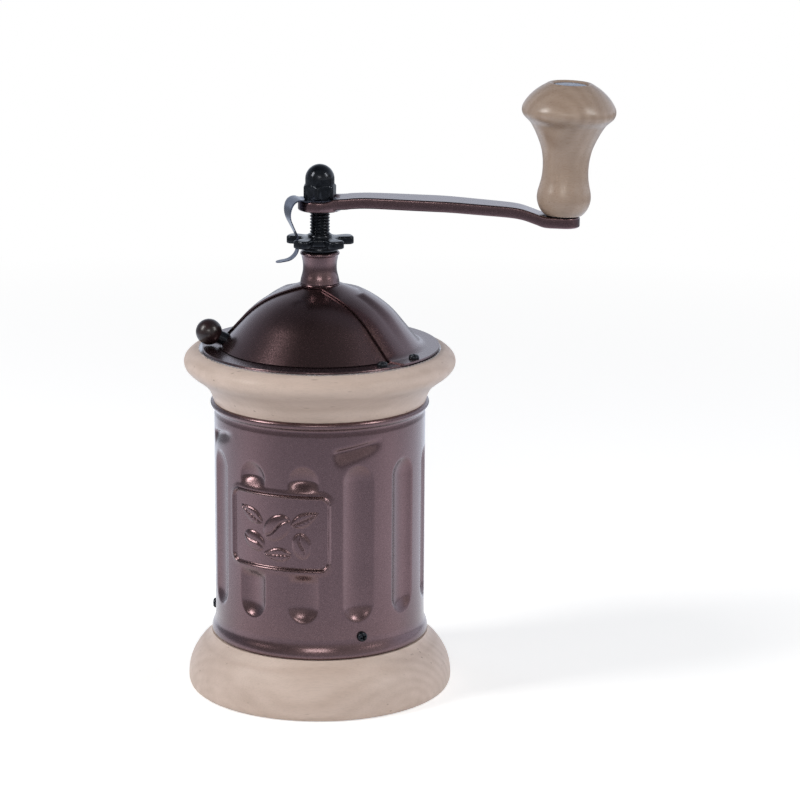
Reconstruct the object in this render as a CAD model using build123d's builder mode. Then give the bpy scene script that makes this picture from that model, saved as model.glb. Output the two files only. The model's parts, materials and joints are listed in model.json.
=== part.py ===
from build123d import *
import os
from math import atan2, cos, degrees, hypot, radians, sin

os.makedirs("parts", exist_ok=True)

# Hand crank coffee grinder. Millimetres, +Z up, origin at the centre of the foot, on the table.
# Plan angles are in degrees from +X, counter-clockwise from above. The crank points along +X.

# ---------------------------------------------------------------- driving dimensions
# plan layout
front_angle = -114.0            # middle of the plaque and of the sliding door
flute_count = 12
flute_first = front_angle + 15.0

# wooden base
base_radius = 54.0
base_foot_inset = 2.2           # how much narrower the foot is than the widest part
base_edge_radius = 3.2
base_height = 22.7              # ledge that the metal body stands on
base_profile = (                # share of the base's overhang, and depth under the ledge
    (0.907, 12.7),
    (0.639, 7.7),
    (0.268, 3.9),
)
base_plug_height = 11.3         # turned plug inside the body
grounds_bowl_radius = 33.0
grounds_bowl_floor = 14.0

# pressed body
body_radius = 42.8
body_sheet = 0.6
body_height = 97.7
body_bead = 1.5                 # how far the rolled rims stand out
body_bead_height = 3.6
flute_width = 12.8
flute_depth = 2.3
flute_bottom = 37.9
flute_top = 102.3
flute_stub_bottom_top = 58.0    # upper end of the short flutes under the plaque
flute_stub_top_bottom = 86.5    # lower end of the short flutes above the plaque
plaque_width = 43.0
plaque_height = 31.6
plaque_middle = 74.8
plaque_line = 1.5
plaque_relief = 0.6
plaque_corner = 4.5
ramp_count = 4
ramp_middle_angle = front_angle + 46.5
ramp_length = 20.0
ramp_width = 3.0
ramp_rise = 3.4
ramp_depth = 0.9
ramp_middle = 109.2
body_screw_angle = front_angle + 47.0
body_screw_height = 31.4

# small pan-head screws, used all over
screw_radius = 1.4
screw_head_radius = 2.1
screw_head_height = 1.5
screw_length = 8.0
fastener_count = 3

# wooden top ring
ring_overhang = 11.8            # how far the ring stands out past its foot
ring_height = 20.4              # from the body's rim to the ring's flat top
ring_profile = (                # share of the ring's overhang past its foot, and of its height
    (0.102, 0.1667),
    (0.373, 0.3676),
    (0.822, 0.5686),
    (1.0, 0.7647),
    (0.873, 0.9216),
)
ring_foot_step = 0.3            # foot of the ring past the body
ring_shoulder = 4.3             # from the widest part in to the flat top
spigot_wall = 2.1
spigot_length = 12.9
spigot_collar = 6.6             # height of the closer-fitting part of the spigot

# hopper
hopper_flange_margin = 6.7      # this and the next margins: out from the dome's foot
hopper_sheet = 0.5
hopper_clearance = 0.4          # between the funnel and the ring's bore
hopper_wall_height = 15.0
hopper_floor_radius = 21.5
hopper_floor_drop = 13.0
throat_radius = 16.9

# burr set
housing_radius = 23.0
housing_height = 24.5
outer_burr_radius = 16.5
outer_burr_height = 22.0
outer_burr_mouth = 15.4
outer_burr_throat = 11.8
burr_gap = 0.4
inner_burr_height = 20.0
inner_burr_nose = 6.0
burr_teeth = 14
burr_tooth_depth = 1.2
burr_groove_width = 1.1
burr_groove_lean = 12.0
burr_waist_step = 1.6           # how much narrower the inner burr is at the throat
burr_nut_size = 11.0
burr_nut_height = 5.0
bridge_screw_radius = 19.0
bridge_width = 9.0
bridge_thickness = 5.0
bridge_post = 4.5
bridge_hub_radius = 8.0
bridge_hub_height = 8.0
bush_wall = 1.5

# lid
lid_ring_margin = 5.2
lid_ring_sheet = 0.6
lid_sheet = 0.6
hood_flange_margin = 6.2
dome_foot_margin = 4.2          # from the lid ring's bore to where the raised panel meets the flange
dome_shoulder_radius = 25.1
dome_shoulder_height = 19.0     # above the top of the hood's flange
dome_neck_radius = 9.0
dome_neck_height = 25.75
dome_bend = 44.0
dome_foot_bend = 2.2
panel_relief = 0.9              # how far the hood's panel stands above its margins
panel_inner_radius = 16.8
panel_setback_angle = 8.5       # from the edge of the window to the raised panel
window_angle = front_angle - 3.75
window_half_angle = 79.25
hood_margin = 6.9               # how far the window's edges stand in front of the axis
door_gap = 0.3
hood_screw_margin = 3.0
hood_screw_spread = 96.75
stop_screw_margin = 1.1
stop_screw_angle = front_angle + 58.5
door_knob_angle = 180.0
door_knob_radius = 5.3
door_knob_margin = 2.5          # ball centre past the dome's foot
door_knob_height = 5.0          # ball centre above the hood's flange
door_knob_tilt = 25.0
door_stud_radius = 1.5
door_stud_grip = 4.3            # from the ball to the stud's end inside the door
door_collar_radius = 2.6

# neck
neck_radius = 7.9
neck_waist = 6.8
neck_height = 13.1
neck_ring_height = 0.4
neck_stub_radius = 6.0
neck_nut_height = 3.0
neck_nut_size = 13.5

# shaft, adjuster, crank
shaft_radius = 4.0
journal_radius = 3.5
running_gap = 0.05
fit_gap = 0.02
adjuster_gap = 0.1
adjuster_boss_radius = 7.2
adjuster_boss_height = 2.4
adjuster_thickness = 3.2
adjuster_core_radius = 7.6
adjuster_radius = 13.8
adjuster_lobes = 5
adjuster_lobe_root = 5.4        # width of a lobe at the core
adjuster_lobe_tip = 8.0
adjuster_lobe_round = 1.9
adjuster_angle = -57.0
thread_length = 10.9            # bare thread between the adjuster and the arm
arm_hub_radius = 8.8
arm_hub_thickness = 4.2
arm_thickness = 4.4
arm_width = 14.0
arm_end_radius = 6.9
arm_length = 97.2
arm_rise = 3.6                  # middle of the bar above the hub's underside, at its highest
arm_profile = (                 # share of the arm's length, and of its rise
    (0.085, 0.86),
    (0.196, 1.0),
    (0.484, 0.69),
    (0.648, 0.33),
    (0.772, 0.02),
    (0.855, -0.38),
)
arm_drop = 6.4                  # how much lower the knob's seat is than the hub's top
arm_end_tilt = 2.4              # the knob's seat slopes down outwards, so the knob leans outwards
cap_nut_size = 12.0
cap_nut_hex_height = 5.9
cap_nut_height = 13.85
cap_nut_dome_radius = 5.85
cap_nut_turn = 19.5

# latch spring
latch_angle = -165.0
latch_thickness = 0.4
latch_root_width = 12.4
latch_tip_width = 4.2
latch_eye_radius = 6.9
latch_root_bend = 2.5           # radius of the two bends that lift the root off the hub
latch_root_turn = 28.0
latch_knee_bend = 3.7
latch_knee_turn = 65.0
latch_side_bend = 8.0
latch_lean = 26.0               # how far the leaf leans back in towards the notch
latch_leaf_length = 6.2         # straight part between the bends
latch_notch_bend = 6.0
latch_hook_bend = 5.6
latch_hook_turn = 82.0
latch_tip_reach = 18.4

# hand knob
knob_height = 52.8
knob_foot_radius = 7.9
knob_belly_radius = 10.8
knob_waist_radius = 9.15
knob_cap_radius = 18.8
knob_crown_radius = 9.0
knob_recess_radius = 7.4
knob_recess_depth = 3.0
knob_axle_radius = 3.0
knob_axle_head_radius = 6.7
knob_axle_head_height = 1.7
knob_washer_radius = 6.5
knob_washer_height = 0.5

# ---------------------------------------------------------------- heights worked out from them
body_top = base_height + body_height
ring_top = body_top + ring_height
hopper_top = ring_top + hopper_sheet
lid_ring_top = hopper_top + lid_ring_sheet
flange_top = lid_ring_top + lid_sheet
hopper_wall_foot = ring_top - hopper_wall_height
hopper_floor = hopper_wall_foot - hopper_floor_drop
housing_bottom = hopper_floor - housing_height
outer_burr_bottom = hopper_floor - outer_burr_height
bridge_top = housing_bottom - bridge_post
bridge_hub_bottom = bridge_top - bridge_hub_height
inner_burr_bottom = outer_burr_bottom
body_bore = body_radius - body_sheet
ring_foot_radius = body_radius + ring_foot_step
ring_radius = ring_foot_radius + ring_overhang
ring_top_radius = ring_radius - ring_shoulder
spigot_radius = body_bore - ramp_depth - door_gap
collar_radius = body_bore - door_gap
ring_bore_radius = spigot_radius - spigot_wall
hopper_radius = ring_bore_radius - hopper_clearance
lid_ring_bore = hopper_radius - hopper_sheet
dome_foot_radius = lid_ring_bore + dome_foot_margin
hopper_flange_radius = dome_foot_radius + hopper_flange_margin
lid_ring_radius = dome_foot_radius + lid_ring_margin
hood_flange_radius = dome_foot_radius + hood_flange_margin
hood_screw_radius = dome_foot_radius + hood_screw_margin
stop_screw_radius = dome_foot_radius + stop_screw_margin
door_knob_reach = dome_foot_radius + door_knob_margin
far = 200.0                     # longer than any piece, for cutting tools


def polar(radius, angle, z=0.0):
    """Point at a plan radius and angle."""
    return Vector(radius * cos(radians(angle)), radius * sin(radians(angle)), z)


def outward_plane(angle, distance=0.0, z=0.0):
    """Upright plane facing outwards, with its local y up."""
    normal = polar(1, angle)
    return Plane(origin=polar(distance, angle, z), x_dir=polar(1, angle + 90), z_dir=normal)


def section_plane(angle):
    """Upright plane through the axis: local x outwards, local y up."""
    return Plane(origin=(0, 0, 0), x_dir=polar(1, angle), z_dir=polar(1, angle - 90))


def shifted(points, distance):
    """Open chain of points moved sideways by a distance, to the left of its direction."""
    sides = []
    for start, end in zip(points, points[1:]):
        run, rise = end[0] - start[0], end[1] - start[1]
        length = hypot(run, rise)
        step = (-rise / length * distance, run / length * distance)
        sides.append(((start[0] + step[0], start[1] + step[1]), (end[0] + step[0], end[1] + step[1])))
    moved = [sides[0][0]]
    for (a, b), (c, d) in zip(sides, sides[1:]):
        ab, cd = (b[0] - a[0], b[1] - a[1]), (d[0] - c[0], d[1] - c[1])
        cross = ab[0] * cd[1] - ab[1] * cd[0]
        share = ((c[0] - a[0]) * cd[1] - (c[1] - a[1]) * cd[0]) / cross
        moved.append((a[0] + ab[0] * share, a[1] + ab[1] * share))
    moved.append(sides[-1][1])
    return moved


def dome_points(depth):
    """Dome outline from its foot to its flat crown, a depth under the hood's raised panel."""
    foot_slope = dome_shoulder_height / (dome_foot_radius - dome_shoulder_radius)
    below = dome_foot_bend
    foot = (dome_foot_radius + below / foot_slope, flange_top - below)
    shoulder = (dome_shoulder_radius, flange_top + dome_shoulder_height)
    neck = (dome_neck_radius, flange_top + dome_neck_height)
    return shifted([foot, shoulder, neck], depth)


def front_wedge(half_angle, apex_distance):
    """Corners of a wedge, seen from above, that opens towards the front of the dome."""
    apex = polar(apex_distance, window_angle)
    corners = [(apex.X, apex.Y)]
    for share in (-1.0, -0.5, 0.5, 1.0):
        corner = apex + polar(far, window_angle + share * half_angle)
        corners.append((corner.X, corner.Y))
    return corners


hood_screw_angles = [window_angle + 180 + turn for turn in (-hood_screw_spread, 0, hood_screw_spread)]
hood_screw_points = [polar(hood_screw_radius, angle) for angle in hood_screw_angles]
stop_screw_point = polar(stop_screw_radius, stop_screw_angle)
lid_screw_points = hood_screw_points + [stop_screw_point]
body_screw_angles = [body_screw_angle + 360 / fastener_count * i for i in range(fastener_count)]

# ---------------------------------------------------------------- wooden base
base_plug_radius = body_bore - fit_gap
foot_radius = base_radius - base_foot_inset
ledge_radius = body_radius + body_bead
base_overhang = base_radius - ledge_radius
base_points = [(ledge_radius + share * base_overhang, base_height - depth) for share, depth in base_profile]
with BuildPart() as base:
    with BuildSketch(Plane.XZ):
        with BuildLine():
            Line((0, 0), (foot_radius, 0))
            edge = ThreePointArc(
                (foot_radius, 0),
                (foot_radius + 0.72 * (base_radius - foot_radius), base_edge_radius * 0.3),
                (base_radius, base_edge_radius),
            )
            shoulder = Spline(
                edge @ 1,
                *base_points,
                (ledge_radius, base_height),
                tangents=((0, 1), (-0.25, 1)),
            )
            Polyline(
                shoulder @ 1,
                (base_plug_radius, base_height),
                (base_plug_radius, base_height + base_plug_height - 1),
                (base_plug_radius - 1, base_height + base_plug_height),
                (grounds_bowl_radius, base_height + base_plug_height),
                (grounds_bowl_radius, grounds_bowl_floor + 6),
            )
            RadiusArc(
                (grounds_bowl_radius, grounds_bowl_floor + 6),
                (grounds_bowl_radius - 6, grounds_bowl_floor),
                6,
            )
            Polyline((grounds_bowl_radius - 6, grounds_bowl_floor), (0, grounds_bowl_floor), (0, 0))
        make_face()
    revolve(axis=Axis.Z)
    for angle in body_screw_angles:
        with BuildSketch(outward_plane(angle, body_bore, body_screw_height)):
            Circle(screw_radius + fit_gap)
        extrude(amount=-screw_length, both=True, mode=Mode.SUBTRACT)
base.part.label = "base"
export_step(base.part, "parts/base.step")

# ---------------------------------------------------------------- pressed sheet body
# Each flute is the dent of a long rounded tool that bites flute_depth into the wall.
flute_chord = (body_radius**2 - (flute_width / 2) ** 2) ** 0.5
flute_bite = flute_chord - (body_radius - flute_depth)
flute_tool_radius = (flute_bite**2 + (flute_width / 2) ** 2) / (2 * flute_bite)
flute_tool_offset = body_radius - flute_depth + flute_tool_radius
flute_end = (flute_tool_radius**2 - (flute_tool_offset - body_radius) ** 2) ** 0.5

flute_runs = []
for i in range(flute_count):
    angle = flute_first + 360 / flute_count * i
    behind_plaque = i in (0, flute_count - 1)
    if behind_plaque:
        flute_runs.append((angle, flute_bottom, flute_stub_bottom_top))
        flute_runs.append((angle, flute_stub_top_bottom, flute_top))
    else:
        flute_runs.append((angle, flute_bottom, flute_top))


def flute_tools(tool_radius):
    """Every flute's tool: long rounded shapes that stand around the body."""
    with BuildPart() as tools:
        for angle, low, high in flute_runs:
            first = low + flute_end
            last = max(high - flute_end, first + 0.5)
            with BuildSketch(section_plane(angle)):
                with BuildLine():
                    Line((flute_tool_offset, first - tool_radius), (flute_tool_offset, last + tool_radius))
                    RadiusArc(
                        (flute_tool_offset, last + tool_radius),
                        (flute_tool_offset - tool_radius, last),
                        -tool_radius,
                    )
                    Line((flute_tool_offset - tool_radius, last), (flute_tool_offset - tool_radius, first))
                    RadiusArc(
                        (flute_tool_offset - tool_radius, first),
                        (flute_tool_offset, first - tool_radius),
                        -tool_radius,
                    )
                make_face()
            revolve(axis=Axis(polar(flute_tool_offset, angle), (0, 0, 1)))
    return tools.part


def ramp_tools(distance):
    """The slanted ramp slots near the rim, from an upright plane outwards."""
    slant = degrees(atan2(ramp_rise, ramp_length))
    with BuildPart() as tools:
        for i in range(ramp_count):
            angle = ramp_middle_angle + 360 / ramp_count * i
            with BuildSketch(outward_plane(angle, distance, ramp_middle)):
                SlotOverall(ramp_length, ramp_width, rotation=slant)
            extrude(amount=2 * ramp_width)
    return tools.part


flute_dents = flute_tools(flute_tool_radius)
flute_backs = flute_tools(flute_tool_radius + body_sheet)
ramp_dents = ramp_tools(body_radius - ramp_depth)
ramp_backs = ramp_tools(body_bore - ramp_depth)

with BuildPart() as body_inside:
    Cylinder(body_bore, body_height, align=(Align.CENTER, Align.CENTER, Align.MIN))
body_cavity = body_inside.part.moved(Location((0, 0, base_height)))

with BuildPart() as cavity_tool:
    add(body_cavity)
    add(flute_backs, mode=Mode.SUBTRACT)
    add(ramp_backs, mode=Mode.SUBTRACT)

with BuildPart() as plaque_frame:
    with BuildSketch(outward_plane(front_angle, body_radius / 2, plaque_middle)):
        RectangleRounded(plaque_width, plaque_height, plaque_corner)
        RectangleRounded(
            plaque_width - 2 * plaque_line,
            plaque_height - 2 * plaque_line,
            plaque_corner - plaque_line,
            mode=Mode.SUBTRACT,
        )
    extrude(amount=body_radius)
    Cylinder(body_radius + plaque_relief, far * 2, mode=Mode.INTERSECT)
    Cylinder(body_radius - body_sheet / 2, far * 2, mode=Mode.SUBTRACT)

with BuildPart() as body_shell:
    with BuildSketch(Plane.XZ):
        with BuildLine():
            Line((0, base_height), (body_radius + body_bead - 0.4, base_height))
            ThreePointArc(
                (body_radius + body_bead - 0.4, base_height),
                (body_radius + body_bead, base_height + body_bead_height * 0.4),
                (body_radius, base_height + body_bead_height),
            )
            Line((body_radius, base_height + body_bead_height), (body_radius, body_top - body_bead_height))
            ThreePointArc(
                (body_radius, body_top - body_bead_height),
                (body_radius + body_bead, body_top - body_bead_height * 0.4),
                (body_radius + body_bead - 0.8, body_top),
            )
            Polyline((body_radius + body_bead - 0.8, body_top), (0, body_top), (0, base_height))
        make_face()
    revolve(axis=Axis.Z)
    add(flute_dents, mode=Mode.SUBTRACT)
    add(ramp_dents, mode=Mode.SUBTRACT)
    add(plaque_frame.part)
    add(cavity_tool.part, mode=Mode.SUBTRACT)
    for angle in body_screw_angles:
        with BuildSketch(outward_plane(angle, body_radius, body_screw_height)):
            Circle(screw_radius + fit_gap)
        extrude(amount=2, both=True, mode=Mode.SUBTRACT)
body_shell.part.label = "body_shell"
export_step(body_shell.part, "parts/body_shell.step")


def pan_head_screw(plane, length):
    """One cross-recessed screw with the underside of its head on the plane."""
    with BuildPart() as screw:
        with BuildSketch(plane):
            Circle(screw_radius)
        extrude(amount=-length)
        with BuildSketch(plane):
            Circle(screw_head_radius)
        extrude(amount=screw_head_height, taper=12)
        with BuildSketch(plane.offset(screw_head_height)):
            Rectangle(screw_head_radius * 1.3, screw_head_radius * 0.28)
            Rectangle(screw_head_radius * 0.28, screw_head_radius * 1.3)
        extrude(amount=-screw_head_height * 0.6, mode=Mode.SUBTRACT)
    return screw.part


with BuildPart() as body_screws:
    for angle in body_screw_angles:
        add(pan_head_screw(outward_plane(angle, body_radius, body_screw_height), screw_length))
body_screws.part.label = "body_screws"
export_step(body_screws.part, "parts/body_screws.step")

# ---------------------------------------------------------------- wooden top ring
ring_points = [
    (ring_foot_radius + share * ring_overhang, body_top + rise * ring_height) for share, rise in ring_profile
]
with BuildPart() as top_ring:
    with BuildSketch(Plane.XZ):
        with BuildLine():
            outline = Spline(
                (ring_foot_radius, body_top),
                *ring_points,
                (ring_top_radius, ring_top),
                tangents=((0.2, 1), (-1, 0.25)),
            )
            Polyline(
                outline @ 1,
                (ring_bore_radius, ring_top),
                (ring_bore_radius, body_top - spigot_length),
                (spigot_radius, body_top - spigot_length),
                (spigot_radius, body_top - spigot_collar),
                (collar_radius, body_top - spigot_collar + 0.8),
                (collar_radius, body_top),
                outline @ 0,
            )
        make_face()
    revolve(axis=Axis.Z)
    with Locations(*[point + Vector(0, 0, ring_top) for point in lid_screw_points]):
        Cylinder(screw_radius + fit_gap, 2 * screw_length, mode=Mode.SUBTRACT)
top_ring.part.label = "top_ring"
export_step(top_ring.part, "parts/top_ring.step")

# ---------------------------------------------------------------- hopper
hopper_screw_radius = (throat_radius + hopper_floor_radius) / 2
hopper_screw_angles = [front_angle + 60 + 120 * i for i in range(fastener_count)]
hopper_screw_points = [polar(hopper_screw_radius, angle) for angle in hopper_screw_angles]
hopper_outside = [
    (hopper_flange_radius, ring_top),
    (hopper_radius, ring_top),
    (hopper_radius, hopper_wall_foot),
    (hopper_floor_radius, hopper_floor),
    (throat_radius, hopper_floor),
]
hopper_inside = shifted(hopper_outside, -hopper_sheet)
with BuildPart() as hopper:
    with BuildSketch(Plane.XZ):
        with BuildLine():
            Polyline(*hopper_outside, *reversed(hopper_inside), close=True)
        make_face()
    revolve(axis=Axis.Z)
    with Locations(*[point + Vector(0, 0, ring_top) for point in lid_screw_points]):
        Cylinder(screw_radius + fit_gap, screw_length, mode=Mode.SUBTRACT)
    with Locations(*[point + Vector(0, 0, hopper_floor) for point in hopper_screw_points]):
        Cylinder(screw_radius + fit_gap, screw_length, mode=Mode.SUBTRACT)
hopper.part.label = "hopper"
export_step(hopper.part, "parts/hopper.step")

with BuildPart() as hopper_screws:
    for angle in hopper_screw_angles:
        seat = Plane(origin=polar(hopper_screw_radius, angle, hopper_floor + hopper_sheet))
        add(pan_head_screw(seat, screw_length))
hopper_screws.part.label = "hopper_screws"
export_step(hopper_screws.part, "parts/hopper_screws.step")

# ---------------------------------------------------------------- burr set
bridge_angle = hopper_screw_angles[0] + 90
bridge_screw_points = [polar(bridge_screw_radius, bridge_angle + turn) for turn in (0, 180)]
with BuildPart() as burr_housing:
    with BuildSketch(Plane.XY.offset(housing_bottom)):
        Circle(housing_radius)
        Circle(outer_burr_mouth, mode=Mode.SUBTRACT)
    extrude(amount=housing_height)
    with BuildSketch(Plane.XY.offset(outer_burr_bottom)):
        Circle(outer_burr_radius)
    extrude(amount=outer_burr_height, mode=Mode.SUBTRACT)
    housing_rims = burr_housing.edges().filter_by(GeomType.CIRCLE).group_by(Axis.Z)[0]
    chamfer(housing_rims.sort_by(SortBy.RADIUS)[-1], 1)
    with Locations(*[point + Vector(0, 0, hopper_floor) for point in hopper_screw_points]):
        Cylinder(screw_radius + fit_gap, 2 * screw_length, mode=Mode.SUBTRACT)
    with Locations(*[point + Vector(0, 0, housing_bottom) for point in bridge_screw_points]):
        Cylinder(screw_radius + fit_gap, 2 * screw_length, mode=Mode.SUBTRACT)
burr_housing.part.label = "burr_housing"
export_step(burr_housing.part, "parts/burr_housing.step")

burr_throat_height = outer_burr_bottom + 0.55 * outer_burr_height
with BuildPart() as outer_burr:
    with BuildSketch(Plane.XZ):
        with BuildLine():
            Polyline(
                (outer_burr_radius, outer_burr_bottom),
                (outer_burr_radius, hopper_floor),
                (outer_burr_mouth, hopper_floor),
                (outer_burr_throat, burr_throat_height),
                (outer_burr_mouth, outer_burr_bottom),
                close=True,
            )
        make_face()
    revolve(axis=Axis.Z)
outer_burr.part.label = "outer_burr"
export_step(outer_burr.part, "parts/outer_burr.step")

inner_burr_top = inner_burr_bottom + inner_burr_height
with BuildPart() as inner_burr:
    with BuildSketch(Plane.XZ):
        with BuildLine():
            Polyline(
                (shaft_radius + fit_gap, inner_burr_bottom),
                (outer_burr_mouth - burr_gap, inner_burr_bottom),
                (outer_burr_throat - burr_gap - burr_waist_step, burr_throat_height),
                (inner_burr_nose, inner_burr_top),
                (shaft_radius + fit_gap, inner_burr_top),
                close=True,
            )
        make_face()
    revolve(axis=Axis.Z)
    for i in range(burr_teeth):
        angle = 360 / burr_teeth * i
        groove_foot = outer_burr_mouth - burr_gap - burr_tooth_depth
        groove_run = groove_foot - (inner_burr_nose - burr_tooth_depth)
        lean = degrees(atan2(groove_run, inner_burr_height))
        groove = Plane(
            origin=polar(groove_foot, angle, inner_burr_bottom),
            x_dir=polar(1, angle + 90),
            z_dir=polar(cos(radians(lean)), angle) + Vector(0, 0, sin(radians(lean))),
        )
        with BuildSketch(groove):
            Rectangle(burr_groove_width, 3 * inner_burr_height, rotation=burr_groove_lean)
        extrude(amount=burr_tooth_depth * 4, mode=Mode.SUBTRACT)
inner_burr.part.label = "inner_burr"
export_step(inner_burr.part, "parts/inner_burr.step")

bush_radius = journal_radius + running_gap + bush_wall
with BuildPart() as bearing_bridge:
    with BuildSketch(Plane.XY.offset(bridge_top - bridge_thickness)):
        SlotOverall(2 * bridge_screw_radius + bridge_width, bridge_width, rotation=bridge_angle)
    extrude(amount=bridge_thickness)
    with BuildSketch(Plane.XY.offset(bridge_top)):
        with Locations(*bridge_screw_points):
            Circle(bridge_width * 0.42)
    extrude(amount=bridge_post)
    with BuildSketch(Plane.XY.offset(bridge_hub_bottom)):
        Circle(bridge_hub_radius)
    extrude(amount=bridge_hub_height)
    Cylinder(bush_radius, far * 2, mode=Mode.SUBTRACT)
    with Locations(*[point + Vector(0, 0, housing_bottom) for point in bridge_screw_points]):
        Cylinder(screw_radius + fit_gap, far / 2, mode=Mode.SUBTRACT)
bearing_bridge.part.label = "bearing_bridge"
export_step(bearing_bridge.part, "parts/bearing_bridge.step")

with BuildPart() as bridge_screws:
    for turn in (0, 180):
        seat = Plane(
            origin=polar(bridge_screw_radius, bridge_angle + turn, bridge_top - bridge_thickness),
            z_dir=(0, 0, -1),
        )
        add(pan_head_screw(seat, bridge_thickness + bridge_post + screw_length - 1))
bridge_screws.part.label = "bridge_screws"
export_step(bridge_screws.part, "parts/bridge_screws.step")

with BuildPart() as shaft_bush:
    with BuildSketch(Plane.XY.offset(bridge_hub_bottom)):
        Circle(bush_radius)
        Circle(journal_radius + running_gap, mode=Mode.SUBTRACT)
    extrude(amount=bridge_hub_height)
shaft_bush.part.label = "shaft_bush"
export_step(shaft_bush.part, "parts/shaft_bush.step")

# ---------------------------------------------------------------- lid ring
with BuildPart() as lid_ring:
    with BuildSketch(Plane.XY.offset(hopper_top)):
        Circle(lid_ring_radius)
        Circle(lid_ring_bore, mode=Mode.SUBTRACT)
        with Locations(*lid_screw_points):
            Circle(screw_radius + fit_gap, mode=Mode.SUBTRACT)
    extrude(amount=lid_ring_sheet)
    rim = lid_ring.edges().filter_by(GeomType.CIRCLE).group_by(Axis.Z)[-1].sort_by(SortBy.RADIUS)[-1]
    fillet(rim, lid_ring_sheet * 0.7)
lid_ring.part.label = "lid_ring"
export_step(lid_ring.part, "parts/lid_ring.step")


def dome_solid(depth, foot_z):
    """Solid dome whose skin lies a depth under the hood's raised panel, standing on a level."""
    foot, shoulder, neck = dome_points(depth)
    run = (foot[0] - shoulder[0]) / (shoulder[1] - foot[1])
    foot_x = foot[0] - (foot_z - foot[1]) * run
    with BuildPart() as dome:
        with BuildSketch(Plane.XZ) as half:
            with BuildLine():
                Polyline((0, foot_z), (foot_x, foot_z), shoulder, neck, (0, neck[1]), close=True)
            make_face()
            fillet(half.vertices().sort_by(Axis.Y)[2], dome_bend - depth)
        revolve(axis=Axis.Z)
    return dome.part


def dome_on_flange(depth):
    """Solid dome with the hood's flange round its foot and a soft crease between them."""
    with BuildPart() as dome:
        add(dome_solid(depth, lid_ring_top))
        with BuildSketch(Plane.XY.offset(lid_ring_top)):
            Circle(hood_flange_radius)
        extrude(amount=lid_sheet)
        circles = dome.edges().filter_by(GeomType.CIRCLE)
        level = circles.filter_by_position(Axis.Z, flange_top - 0.01, flange_top + 0.01)
        fillet(level.sort_by(SortBy.RADIUS)[0], dome_foot_bend)
    return dome.part


# ---------------------------------------------------------------- sliding door
door_depth = panel_relief + lid_sheet + door_gap
door_foot = lid_ring_top + door_gap
door_bore = neck_stub_radius + 2 * running_gap
apex_ring_radius = dome_neck_radius + 1.5
knob_centre = polar(door_knob_reach, door_knob_angle, flange_top + door_knob_height)
knob_axis = polar(cos(radians(door_knob_tilt)), door_knob_angle, sin(radians(door_knob_tilt)))
knob_plane = Plane(origin=knob_centre, z_dir=knob_axis)
stud_length = door_knob_radius + door_stud_grip
door_outside = dome_solid(door_depth, door_foot)
door_inside = dome_solid(door_depth + lid_sheet, door_foot)

with BuildPart() as door:
    with BuildSketch(Plane.XY.offset(door_foot)):
        Polygon(*front_wedge(window_half_angle, 0), align=None)
        Circle(apex_ring_radius)
        Circle(door_bore, mode=Mode.SUBTRACT)
    extrude(amount=far)
    add(door_outside, mode=Mode.INTERSECT)
    add(door_inside, mode=Mode.SUBTRACT)
    with BuildSketch(knob_plane):
        Circle(door_stud_radius + fit_gap)
    extrude(amount=-2 * stud_length, mode=Mode.SUBTRACT)
door.part.label = "door"
export_step(door.part, "parts/door.step")

with BuildPart() as door_knob:
    with BuildSketch(knob_plane):
        with BuildLine():
            Line((0, -door_knob_radius), (0, door_knob_radius))
            ThreePointArc((0, door_knob_radius), (door_knob_radius, 0), (0, -door_knob_radius))
        make_face()
    revolve(axis=Axis(knob_centre, knob_plane.y_dir))
    with BuildSketch(knob_plane):
        Circle(door_stud_radius + fit_gap)
    extrude(amount=-2 * door_knob_radius, mode=Mode.SUBTRACT)
door_knob.part.label = "door_knob"
export_step(door_knob.part, "parts/door_knob.step")

collar_seat = door_knob_radius * 0.85
collar_backing = dome_solid(door_depth, door_foot - door_knob_radius)
with BuildPart() as knob_collar:
    with BuildSketch(knob_plane.offset(-collar_seat)):
        Circle(door_collar_radius)
    extrude(amount=collar_seat - stud_length)
    add(collar_backing, mode=Mode.SUBTRACT)
    add(door_knob.part, mode=Mode.SUBTRACT)
    with BuildSketch(knob_plane):
        Circle(door_stud_radius + fit_gap)
    extrude(amount=-far, mode=Mode.SUBTRACT)
knob_collar.part.label = "knob_collar"
export_step(knob_collar.part, "parts/knob_collar.step")

stud_head_radius = door_stud_radius + 0.7
stud_head_height = 1.0
with BuildPart() as door_stud:
    with BuildSketch(knob_plane):
        Circle(door_stud_radius)
    extrude(amount=-stud_length)
    with BuildSketch(knob_plane.offset(-stud_length)):
        Circle(stud_head_radius)
    extrude(amount=stud_head_height)
door_stud.part.label = "door_stud"
export_step(door_stud.part, "parts/door_stud.step")

# ---------------------------------------------------------------- fixed hood
# A full sheet dome with its own flange, open towards the front, with a raised panel.
window_apex = hood_margin / sin(radians(window_half_angle))
panel_wedge = front_wedge(window_half_angle + panel_setback_angle, 0)
panel_inset = lid_sheet / sin(radians(window_half_angle + panel_setback_angle))
pocket_wedge = front_wedge(window_half_angle + panel_setback_angle, -panel_inset)
hood_level = dome_points(panel_relief)[2][1]
hood_outside = dome_on_flange(panel_relief)
hood_inside = dome_solid(panel_relief + lid_sheet, lid_ring_top)
panel_outside = dome_on_flange(0)
panel_inside = dome_solid(lid_sheet, lid_ring_top)

with BuildPart() as raised_panel:
    with BuildSketch(Plane.XY.offset(lid_ring_top)):
        Circle(hood_flange_radius)
        Circle(panel_inner_radius, mode=Mode.SUBTRACT)
        Polygon(*panel_wedge, align=None, mode=Mode.SUBTRACT)
    extrude(amount=far)
    add(panel_outside, mode=Mode.INTERSECT)

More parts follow.
